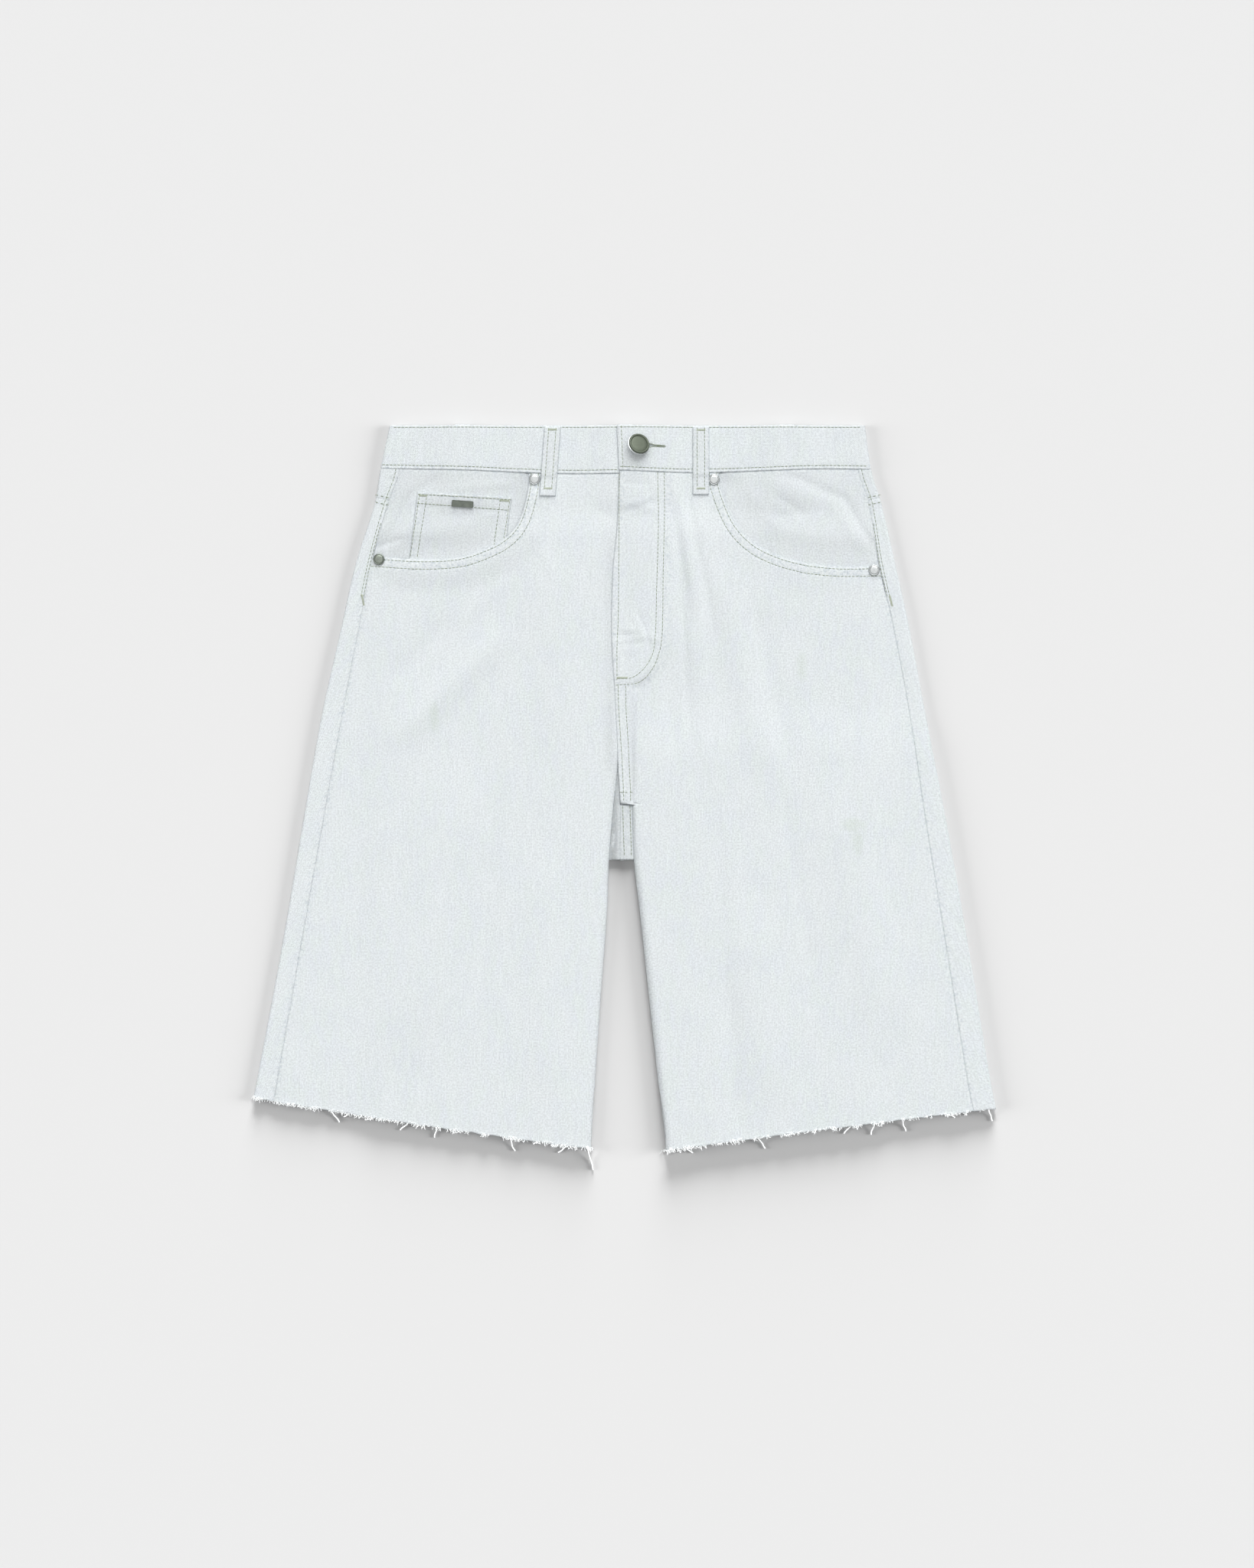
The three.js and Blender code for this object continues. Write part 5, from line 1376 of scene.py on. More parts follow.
def stitch_tree():
    tree = bpy.data.node_groups.new("stitches_along_rows", "GeometryNodeTree")
    sockets, given = group_sockets(tree, [
        ("Rows", "NodeSocketGeometry"), ("Pitch", "NodeSocketFloat"), ("Length", "NodeSocketFloat"),
        ("Thread", "NodeSocketFloat"), ("Turn", "NodeSocketFloat"), ("Material", "NodeSocketMaterial"),
    ])
    steps = add_node(tree, "GeometryNodeResampleCurve", {"Curve": given.outputs["Rows"]})
    steps.mode = "LENGTH"
    tree.links.new(given.outputs["Pitch"], steps.inputs["Length"])
    stitch = add_node(tree, "GeometryNodeMeshUVSphere", {"Segments": 6, "Rings": 5, "Radius": 0.5})
    size = add_node(tree, "ShaderNodeCombineXYZ", {
        "X": given.outputs["Length"], "Y": given.outputs["Thread"], "Z": given.outputs["Thread"],
    })
    lying = add_node(tree, "GeometryNodeTransform", {"Geometry": stitch.outputs["Mesh"], "Rotation": (0, math.pi / 2, 0)})
    sized = add_node(tree, "GeometryNodeTransform", {"Geometry": lying.outputs["Geometry"], "Scale": size.outputs["Vector"]})
    smooth_stitch = add_node(tree, "GeometryNodeSetShadeSmooth", {"Geometry": sized.outputs["Geometry"]})
    ahead = add_node(tree, "FunctionNodeAlignRotationToVector", {
        "Vector": add_node(tree, "GeometryNodeInputTangent").outputs["Tangent"],
    }, axis="X")
    uneven = add_node(tree, "FunctionNodeRandomValue", {"Min": -0.05, "Max": 0.05, "Seed": 7}, data_type="FLOAT")
    turn = add_node(tree, "ShaderNodeMath", {0: given.outputs["Turn"], 1: uneven.outputs[1]}, operation="ADD")
    twist = add_node(tree, "ShaderNodeCombineXYZ", {"Z": turn.outputs[0]})
    turned = add_node(tree, "FunctionNodeRotateRotation", {
        "Rotation": ahead.outputs["Rotation"], "Rotate By": twist.outputs["Vector"],
    }, rotation_space="LOCAL")
    placed = add_node(tree, "GeometryNodeInstanceOnPoints", {
        "Points": steps.outputs["Curve"], "Instance": smooth_stitch.outputs["Geometry"], "Rotation": turned.outputs["Rotation"],
    })
    real = add_node(tree, "GeometryNodeRealizeInstances", {"Geometry": placed.outputs["Instances"]})
    coloured = add_node(tree, "GeometryNodeSetMaterial", {
        "Geometry": real.outputs["Geometry"], "Material": given.outputs["Material"],
    })
    add_node(tree, "NodeGroupOutput", {"Stitches": coloured.outputs["Geometry"]})
    return tree, {name: socket.identifier for name, socket in sockets.items()}


def curve_object(name, rows):
    """Open polylines through rows of points, in metres."""
    data = bpy.data.curves.new(name, "CURVE")
    data.dimensions = "3D"
    for points in rows:
        spline = data.splines.new("POLY")
        spline.points.add(len(points) - 1)
        spline.points.foreach_set("co", np.column_stack([points, np.ones(len(points))]).ravel())
    rows_object = bpy.data.objects.new(name, data)
    bpy.context.scene.collection.objects.link(rows_object)
    return rows_object


def grown(name, rows, tree, identifiers, **inputs):
    """Runs a tree over rows of points and returns the result as a plain mesh object."""
    guide = curve_object(name + "_guide", rows)
    modifier = guide.modifiers.new("grow", "NODES")
    modifier.node_group = tree
    for key, value in inputs.items():
        modifier[identifiers[key]] = value
    graph = bpy.context.evaluated_depsgraph_get()
    mesh = bpy.data.meshes.new_from_object(guide.evaluated_get(graph))
    bpy.data.objects.remove(guide)
    piece = bpy.data.objects.new(name, mesh)
    bpy.context.scene.collection.objects.link(piece)
    print(f"{name}: {sum(len(face.vertices) - 2 for face in mesh.polygons)} triangles")
    return piece


STITCHES, STITCH_INPUTS = stitch_tree()

# %% [markdown]
# ## Sewing thread
# The thread is a sage green polyester core spun with cotton, so it is softer than nylon and has
# a twist that shows as fine slanting lines. The bleach took some of its colour too.

# %% Thread material
SAGE = "#7E8A6D"
SAGE_PALE = "#9EA98E"
SAGE_WASHED = "#B6BFA6"
SAGE_WASHED_PALE = "#D0D6C6"


def thread_material(name, dark, pale, twist):
    material, tree, shader = new_material(name)
    where = add_node(tree, "ShaderNodeTexCoord").outputs["Object"]
    patches = add_node(tree, "ShaderNodeTexNoise", {"Vector": where, "Scale": 1 / (9 * MM), "Detail": 3.0})
    colour = add_node(tree, "ShaderNodeMix", {
        "Factor": patches.outputs["Fac"], 6: linear(dark), 7: linear(pale),
    }, data_type="RGBA").outputs[2]
    tree.links.new(colour, shader.inputs["Base Color"])
    plies = add_node(tree, "ShaderNodeTexWave", {"Vector": where, "Scale": 0.314 / twist, "Distortion": 1.0},
                     wave_type="BANDS", bands_direction="DIAGONAL")
    bump = add_node(tree, "ShaderNodeBump", {"Height": plies.outputs["Fac"], "Strength": 0.4, "Distance": 0.05 * MM})
    tree.links.new(bump.outputs["Normal"], shader.inputs["Normal"])
    shader.inputs["Roughness"].default_value = 0.6
    shader.inputs["Specular IOR Level"].default_value = 0.35
    return material


sage_thread = thread_material("sage_core_spun_thread", SAGE, SAGE_PALE, 0.35 * MM)
washed_thread = thread_material("washed_sage_bartack_thread", SAGE_WASHED, SAGE_WASHED_PALE, 0.35 * MM)

# %% [markdown]
# ## Rows of topstitching
# A row is sewn from the edge that it holds: so many millimetres in from it. The edges are known,
# so most rows are made from them, and only those of the fly and of the coin pocket are measured.
# The level of each row comes from the surface that it is sewn through.

# %% Rows on the front
ROWS_FRONT = []


def line(start, end, step=1.0):
    return even(np.array([start, end], float), step)


def sew(path, surface, thick=CLOTH, rise=0.08):
    """A row of points in metres, on top of a surface that is `thick` through."""
    return place(path[:, 0], path[:, 1], surface(path[:, 0], path[:, 1]) + thick / 2 + rise)


def on_front(side):
    return lambda across, down: front_surface(side, across, down)


def on_band(side):
    return lambda across, down: band_surface(side, across, down)


def on_wrap(side):
    return lambda across, down: wrap_surface(side, across, down)


TOP_ROW = 1.4
BAND_ROW = 2.9
for side, inner_end, outer_end in ((RIGHT, -7.5, -197.5), (LEFT, -2.5, 202.0)):
    spots = np.linspace(inner_end, outer_end, 240)
    ROWS_FRONT.append(sew(np.stack([spots, np.full_like(spots, TOP_ROW)], axis=1), on_band(side), BAND))
    spots = np.linspace(inner_end, side.hand * 207.5, 240)
    ROWS_FRONT.append(sew(np.stack([spots, waist_down(side, spots) - BAND_ROW], axis=1), on_band(side), BAND))
ROWS_FRONT.append(sew(line((-2.6, TOP_ROW), (-1.2, 35.5)), on_band(LEFT), BAND))

for side in SIDES:
    mouth = MOUTH[side.name]
    for inset in (ROW_INSET, ROW_INSET + ROW_GAUGE):
        row = offset(mouth, -side.hand * inset)
        kept = (row[:, 1] > waist_down(side, row[:, 0]) + 0.8) & (side.hand * row[:, 0] < seam_out(side, row[:, 1]) - 1.5)
        ROWS_FRONT.append(sew(even(row[kept], 1.0), on_front(side)))

FLY_EDGE_ROW = [(-4.4, 43), (-4.6, 95), (-4.8, 121), (-5.3, 168), (-6.2, 187), (-6.3, 218)]
RISE_ROWS = [
    [(-5.3, 225.5), (-5.0, 240), (-3.4, 266), (-1.7, 293), (-0.7, 315), (-0.5, 322)],
    [(1.1, 225.5), (1.3, 240), (2.9, 266), (4.3, 293), (5.3, 315), (5.3, 322)],
]
for path in [J_STITCH, J_STITCH_INNER] + [smooth_path(points, 1.0) for points in [FLY_EDGE_ROW] + RISE_ROWS]:
    ROWS_FRONT.append(sew(even(path, 1.0), on_front(LEFT)))

SIDE_BARTACK_DOWN = 146
YOKE_ROWS = (-2.4, 4.0)
for side in SIDES:
    down = np.linspace(waist_down(side, side.hand * 200) + 1.2, SIDE_BARTACK_DOWN, 120)
    for beyond in (0.5, 2.6):
        kept = down if beyond > 2 else down[down > 85]
        across = side.hand * (seam_out(side, kept) + beyond)
        ROWS_FRONT.append(sew(np.stack([across, kept], axis=1), on_wrap(side)))
    for below in YOKE_ROWS:
        out = np.linspace(float(seam_out(side, 64)) + 1.0, float(edge_out(side, 64)) - 1.2, 20)
        ROWS_FRONT.append(sew(np.stack([side.hand * out, yoke_down(side, out) + below], axis=1), on_wrap(side), rise=0.3))

COIN_ROWS = [
    [(-176.6, 59.3), (-99.1, 63.8)], [(-177.4, 67.0), (-102.2, 72.6)],
    [(-176.6, 59.8), (-184.3, 111.5)], [(-170.6, 63.0), (-178.3, 112.0)],
    [(-99.1, 66.2), (-103.6, 96.5)], [(-107.0, 64.7), (-112.3, 102.5)],
]
for start, end in COIN_ROWS:
    ROWS_FRONT.append(sew(line(start, end), coin_surface))

LOOP_ROW = 0.48            # share of half the loop's width


def loop_row(name, u, start, end):
    loop = FRONT_LOOPS[name]
    t = np.linspace(start, end, 50)
    across = mix(loop["top"], loop["foot"], t) + u * loop["width"] / 2
    down = mix(loop["start"], loop["end"], t)
    return place(across, down, front_loop_level(loop, across, down, t, u) + LOOP / 2 + 0.05)


for name in FRONT_LOOPS:
    for u in (-LOOP_ROW, LOOP_ROW):
        ROWS_FRONT.append(loop_row(name, u, 0.03, 0.86))

CROSS_SEAM_DOWN = 316.1
ROWS_FRONT.append(sew(line((-2.4, CROSS_SEAM_DOWN), (6.0, CROSS_SEAM_DOWN)), on_front(LEFT)))
ROWS_FRONT.append(sew(line((-9.2, CROSS_SEAM_DOWN), (-3.2, CROSS_SEAM_DOWN)), lambda across, down: 2.75 + 0 * across, rise=0.4))


def crotch_window(across, down):
    high = 2.9 + 0.5 * (1 - smooth(CROTCH_DOWN, 350, down))
    return high + 0 * across


for across in (-1.4, 4.9):
    ROWS_FRONT.append(sew(line((across, CROTCH_DOWN + 4), (across + 1.3, 369)), crotch_window, rise=0.45))

topstitch_front = grown("topstitch_front", ROWS_FRONT, STITCHES, STITCH_INPUTS, Pitch=STITCH_PITCH * MM,
                        Length=2.75 * MM, Thread=THREAD * MM, Turn=0.0, Material=sage_thread)

# %% Rows on the back
UNDER = 0.12               # rows on the underside lie this far above the table
ROWS_BACK = []


def under(path):
    return place(path[:, 0], path[:, 1], lift(path[:, 0], path[:, 1]) + UNDER)


for side in SIDES:
    out = np.linspace(1.0, 196, 200)
    for down in (TOP_ROW, BAND_DEPTH - BAND_ROW):
        ROWS_BACK.append(under(np.stack([side.hand * out, np.full_like(out, down)], axis=1)))
    for below in YOKE_ROWS:
        reach = np.linspace(2, float(edge_out(side, 62)) - 4, 200)
        ROWS_BACK.append(under(np.stack([side.hand * reach, yoke_down(side, reach) + below], axis=1)))
    for inset in (ROW_INSET, ROW_INSET + ROW_GAUGE):
        u = 1 - inset / 80
        v = np.linspace(0.02, 1 - inset / 150, 120)
        rim = [pocket_point(side, -u, v), pocket_point(side, np.linspace(-u, u, 121), 1 - inset / 150), pocket_point(side, u, v[::-1])]
        ROWS_BACK.append(place(*np.concatenate([np.stack(part, axis=1) for part in rim]).T, UNDER))
    for v in (0.02, 0.085):
        ROWS_BACK.append(place(*pocket_point(side, np.linspace(-0.98, 0.98, 120), np.full(120, v)), UNDER))
seat = np.linspace(BAND_DEPTH + 2, CROTCH_FOLD_DOWN - 4, 300)
for beside in (ROW_INSET, ROW_INSET + ROW_GAUGE):
    ROWS_BACK.append(under(np.stack([seat_across(seat) + beside, seat], axis=1)))
for centre in BACK_LOOPS.values():
    for beside in (-4.6, 4.6):
        ROWS_BACK.append(place(centre + beside, np.linspace(0, BACK_LOOP_LENGTH - 6, 40), UNDER))
topstitch_back = grown("topstitch_back", ROWS_BACK, STITCHES, STITCH_INPUTS, Pitch=STITCH_PITCH * MM,
                       Length=2.75 * MM, Thread=THREAD * MM, Turn=0.0, Material=sage_thread)

# %% [markdown]
# ## Bartacks and the buttonhole
# Where a seam is pulled hardest it is locked by a bartack, about forty tight zigzag stitches in a
# small bar. The buttonhole is edged in the same way. The tree is the same, with a fine pitch and
# a quarter turn.

# %% Bartacks and buttonhole
BARTACK_PITCH = 0.5
BARTACK_WIDTH = 2.0


def bar(start, end, surface, thick=CLOTH):
    return sew(line(start, end, 0.5), surface, thick, 0.14)


bars = [
    bar((-6.4, 217.3), (2.6, 217.3), on_front(LEFT)),
    bar((-176.6, 60.3), (-170.2, 60.6), coin_surface),
    bar((-107.4, 64.4), (-99.4, 64.9), coin_surface),
    bar((-226.4, 145.6), (-224.6, 154.6), on_wrap(RIGHT)),
    bar((228.8, 146.6), (231.0, 155.4), on_wrap(LEFT)),
]
for name, head, foot in (("loop_front_right", 0.035, 0.895), ("loop_front_left", 0.045, 0.915)):
    loop = FRONT_LOOPS[name]
    for t in (head, foot):
        u = np.linspace(-0.54, 0.54, 30)
        across = mix(loop["top"], loop["foot"], t) + u * loop["width"] / 2
        down = mix(loop["start"], loop["end"], t) + 0 * u
        bars.append(place(across, down, front_loop_level(loop, across, down, t, u) + LOOP / 2 + 0.1))
for centre in BACK_LOOPS.values():
    for down in (2.0, BACK_LOOP_LENGTH - 3):
        bars.append(place(np.linspace(centre - 4.4, centre + 4.4, 20), np.full(20, down), UNDER))
for side in SIDES:
    for u in (-0.94, 0.94):
        corner = pocket_point(side, u, np.linspace(0.01, 0.06, 12))
        bars.append(place(*corner, UNDER))
bartacks = grown("bartacks", bars, STITCHES, STITCH_INPUTS, Pitch=BARTACK_PITCH * MM,
                 Length=BARTACK_WIDTH * MM, Thread=0.5 * MM, Turn=math.pi / 2 - 0.2, Material=washed_thread)

SLIT_CLOSED = 16           # the lips of the slit touch this far from the shank


def along_slit(t, beside):
    turn = math.radians(SLIT_TURN)
    return np.stack([EYELET[0] + t * math.cos(turn) - beside * math.sin(turn),
                     EYELET[1] + t * math.sin(turn) + beside * math.cos(turn)], axis=1)


edging = []
for lip in (-1, 1):
    t = np.linspace(3.2, SLIT_LENGTH, 60)
    edging.append(sew(along_slit(t, lip * mix(2.0, 0.62, smooth(4, SLIT_CLOSED, t))), on_band(LEFT), BAND, 0.1))
round_eye = np.linspace(0.35, 2 * math.pi - 0.35, 60)
ring = np.stack([EYELET[0] + 4.3 * np.cos(round_eye), EYELET[1] + 4.3 * np.sin(round_eye)], axis=1)
edging.append(sew(ring, on_band(LEFT), BAND, 0.1))
edging.append(sew(along_slit(np.linspace(SLIT_CLOSED, SLIT_LENGTH + 0.8, 30), 0.0), on_band(LEFT), BAND, 0.3))
buttonhole = grown("buttonhole_edging", edging, STITCHES, STITCH_INPUTS, Pitch=0.62 * MM,
                   Length=1.3 * MM, Thread=0.42 * MM, Turn=math.pi / 2, Material=sage_thread)

# %% [markdown]
# ## Metal trims
# The button is a drawn steel cap with a rolled rim, plated a dull grey green, and it stands
# tilted on its shank, as in the photograph. It stays bare. The rivets are small nickel caps with
# a raised nipple. The plate on the coin pocket is a thin stamped strip with a raised border. All
# of them are turned or stamped shapes, so they are made here from their profiles.

# %% Metal materials
def metal_material(name, colour, dark, roughness, grain, dents=0.02 * MM):
    material, tree, shader = new_material(name)
    where = add_node(tree, "ShaderNodeTexCoord").outputs["Object"]
    stains = add_node(tree, "ShaderNodeTexNoise", {"Vector": where, "Scale": 1 / (2.5 * MM), "Detail": 4.0})
    tinted = add_node(tree, "ShaderNodeMix", {
        "Factor": stains.outputs["Fac"], 6: linear(dark), 7: linear(colour),
    }, data_type="RGBA").outputs[2]
    tree.links.new(tinted, shader.inputs["Base Color"])
    marks = add_node(tree, "ShaderNodeTexNoise", {"Vector": where, "Scale": 1 / grain, "Detail": 3.0})
    dull = add_node(tree, "ShaderNodeMapRange", {
        "Value": marks.outputs["Fac"], "To Min": roughness * 0.7, "To Max": roughness * 1.4,
    })
    tree.links.new(dull.outputs["Result"], shader.inputs["Roughness"])
    bump = add_node(tree, "ShaderNodeBump", {"Height": marks.outputs["Fac"], "Strength": 0.4, "Distance": dents})
    tree.links.new(bump.outputs["Normal"], shader.inputs["Normal"])
    shader.inputs["Metallic"].default_value = 1.0
    return material


antique_steel = metal_material("antique_plated_steel", "#7A8174", "#6C7366", 0.55, 0.4 * MM)
nickel = metal_material("polished_nickel_plate", "#DFE2E2", "#BDC1C1", 0.26, 0.9 * MM, 0.06 * MM)
# The same nickel painted darker, a painted reflection of a dark surround, for one rivet
nickel_painted_dark_reflection = metal_material("tarnished_nickel_plate", "#A3AAA0", "#777E76", 0.24, 0.9 * MM, 0.1 * MM)
gunmetal = metal_material("gunmetal_stamped_plate", "#7C827A", "#5B605A", 0.35, 0.25 * MM)

# %% Button, rivets and plate
BUTTON = {"radius": 9.25, "thick": 3.2, "tilt": 28, "towards": 45, "shank": 3}
RIVETS = {
    "rivet_right_side": (-211.5, 115.3), "rivet_right_waist": (-77.5, 46.2),
    "rivet_left_waist": (77.3, 46.4), "rivet_left_side": (215.2, 124.6),
}
RIVET_RADIUS = 4.85
RIVET_HEIGHT = 2.0


def turned(profile, segments):
    """A bmesh of revolution about Z from a profile of (radius, height), closed at the axis."""
    shape = bmesh.new()
    points = [shape.verts.new((radius * MM, 0, height * MM)) for radius, height in profile]
    edges = [shape.edges.new(pair) for pair in zip(points, points[1:])]
    bmesh.ops.spin(shape, geom=points + edges, cent=(0, 0, 0), axis=(0, 0, 1), angle=2 * math.pi, steps=segments)
    bmesh.ops.remove_doubles(shape, verts=shape.verts, dist=1e-6)
    bmesh.ops.recalc_face_normals(shape, faces=shape.faces)
    return shape


def finished(shape, name, sharp=35):
    """A smooth mesh object from a bmesh, with its sharp edges kept."""
    mesh = bpy.data.meshes.new(name)
    shape.to_mesh(mesh)
    shape.free()
    for face in mesh.polygons:
        face.use_smooth = True
    mesh.set_sharp_from_angle(angle=math.radians(sharp))
    piece = bpy.data.objects.new(name, mesh)
    bpy.context.scene.collection.objects.link(piece)
    return piece


def arc(centre, radius, start, end, count):
    angles = np.radians(np.linspace(start, end, count))
    return [(centre[0] + radius * math.cos(a), centre[1] + radius * math.sin(a)) for a in angles]


def button_centre():
    flap_top = float(band_level(LEFT, *EYELET)) + BAND / 2
    return flap_top + SEAM_GAP + BUTTON["radius"] * math.sin(math.radians(BUTTON["tilt"])) + BUTTON["thick"] / 2


def button_matrix():
    tilt, towards = math.radians(BUTTON["tilt"]), math.radians(BUTTON["towards"])
    turn = Matrix.Rotation(towards, 4, "Z") @ Matrix.Rotation(tilt, 4, "Y")
    return Matrix.Translation(Vector(place(*EYELET, button_centre()))) @ turn


def button():
    radius, thick = BUTTON["radius"], BUTTON["thick"]
    profile = [(0, 0), (radius - 1.6, 0), (radius - 0.9, 0.15)]
    profile += arc((radius - 1.05, thick - 1.15), 1.05, -30, 165, 12)
    profile += [(radius - 2.5, thick - 0.75), (radius - 3.2, thick - 0.62), (4.2, thick - 0.5), (2.0, thick - 0.42), (0, thick - 0.4)]
    cap = turned(profile, 64)
    bmesh.ops.translate(cap, verts=cap.verts, vec=(0, 0, -thick / 2 * MM))
    bmesh.ops.transform(cap, matrix=button_matrix(), verts=cap.verts)
    centre = button_centre()
    low = float(band_level(RIGHT, *EYELET)) + BAND / 2
    stem = turned([(0, low), (BUTTON["shank"], low), (BUTTON["shank"] * 0.8, low + 1.2),
                   (BUTTON["shank"] * 0.8, centre - 1.2), (0, centre - 1.0)], 32)
    foot = place(*EYELET, 0)
    bmesh.ops.translate(stem, verts=stem.verts, vec=Vector(foot))
    mesh = bpy.data.meshes.new("stem")
    stem.to_mesh(mesh)
    stem.free()
    cap.from_mesh(mesh)
    return finished(cap, "shank_button")


def rivet(name):
    across, down = RIVETS[name]
    side = RIGHT if across < 0 else LEFT
    around = np.arange(8) * math.pi / 4
    ground = np.max(top_of(side, across + RIVET_RADIUS * np.cos(around), down + RIVET_RADIUS * np.sin(around)))
    profile = [(0, 0), (RIVET_RADIUS - 0.3, 0), (RIVET_RADIUS, 0.3), (RIVET_RADIUS, 0.8), (RIVET_RADIUS - 0.18, 1.1)]
    profile += [(RIVET_RADIUS - 0.5, 1.2), (RIVET_RADIUS - 0.75, 1.02), (RIVET_RADIUS - 0.95, 1.06)]
    profile += [(3.75, 1.5), (3.5, 1.74), (3.2, 1.84), (1.8, 1.92), (0, RIVET_HEIGHT - 0.05)]
    shape = turned(profile, 40)
    bmesh.ops.translate(shape, verts=shape.verts, vec=Vector(place(across, down, ground + 0.05)))
    return finished(shape, "cap_" + name, 50)


COIN_PLATE = {"across": -139.4, "down": 67.7, "width": 18.6, "height": 5.7, "thick": 0.8, "tilt": -4}


def coin_plate():
    plate = COIN_PLATE
    low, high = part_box("coin_plate")
    shape = bmesh.new()
    bmesh.ops.create_cube(shape, size=1.0)
    bmesh.ops.scale(shape, verts=shape.verts, vec=Vector((plate["width"], plate["height"], plate["thick"])) * MM)
    top = max(shape.faces, key=lambda face: face.calc_center_median().z)
    bmesh.ops.inset_region(shape, faces=[top], thickness=0.6 * MM)
    bmesh.ops.inset_region(shape, faces=[top], thickness=0.15 * MM, depth=-0.3 * MM)
    rim = [edge for edge in shape.edges if abs(edge.verts[0].co.z - edge.verts[1].co.z) > 0.5 * MM]
    bmesh.ops.bevel(shape, geom=rim, offset=0.5 * MM, segments=3, affect="EDGES")
    bmesh.ops.rotate(shape, verts=shape.verts, matrix=Matrix.Rotation(math.radians(plate["tilt"]), 3, "Z"))
    centre = (low + high) / 2
    bmesh.ops.translate(shape, verts=shape.verts, vec=centre)
    return finished(shape, "coin_pocket_plate", 30)


def button_shell():
    """The bright back shell of the cap, whose edge shows where the button stands up."""
    radius, thick = BUTTON["radius"], BUTTON["thick"]
    ring = [(radius - 1.4, -0.05), (radius - 0.5, 0.02), (radius + 0.3, 0.5), (radius + 0.3, 1.0), (radius - 0.3, 1.25)]
    shell = turned(ring + [(radius - 1.4, 1.25), ring[0]], 64)
    bmesh.ops.translate(shell, verts=shell.verts, vec=(0, 0, -thick / 2 * MM))
    bmesh.ops.transform(shell, matrix=button_matrix(), verts=shell.verts)
    return finished(shell, "button_back_shell")


button_piece = button()
button_ring = button_shell()
rivets = {name: rivet(name) for name in RIVETS}
plate_piece = coin_plate()

# %% [markdown]
# ## Raw hems
# The legs were cut off and left raw. White cross yarns have worked loose below the edge, a few
# millimetres long and tangled, and single long ones trail onto the table. A second tree grows
# the short ones along the edge; the long ones are curves of their own.

# %% Hem yarn
YARN = 0.74
YARN_LENGTH = 3.4
LONG_YARN = 1.35

LONG_THREADS = {
    "right": table(
        "root across fall",
        (-253.3, 7.1, 10.1), (-236.1, -6.0, 2.6), (-213.9, -9.5, 2.4), (-185.6, -7.7, 6.3), (-161.4, -2.6, 9.0),
        (-98.7, 4.0, 12.2), (-70.5, -8.6, 1.8), (-47.3, -9.7, 5.7), (-31.5, 5.0, 19.5),
    ),
    "left": table(
        "root across fall",
        (39.3, -2.6, 4.6), (44.6, 4.2, 3.8), (50.9, 8.8, 5.3), (115.1, 6.9, 9.5), (196.1, -6.7, 6.9),
        (216.1, -3.6, 10.9), (239.6, 3.2, 10.3), (279.2, 6.3, 3.1), (290.0, 6.3, 2.7), (313.9, 4.2, 10.4),
    ),
}


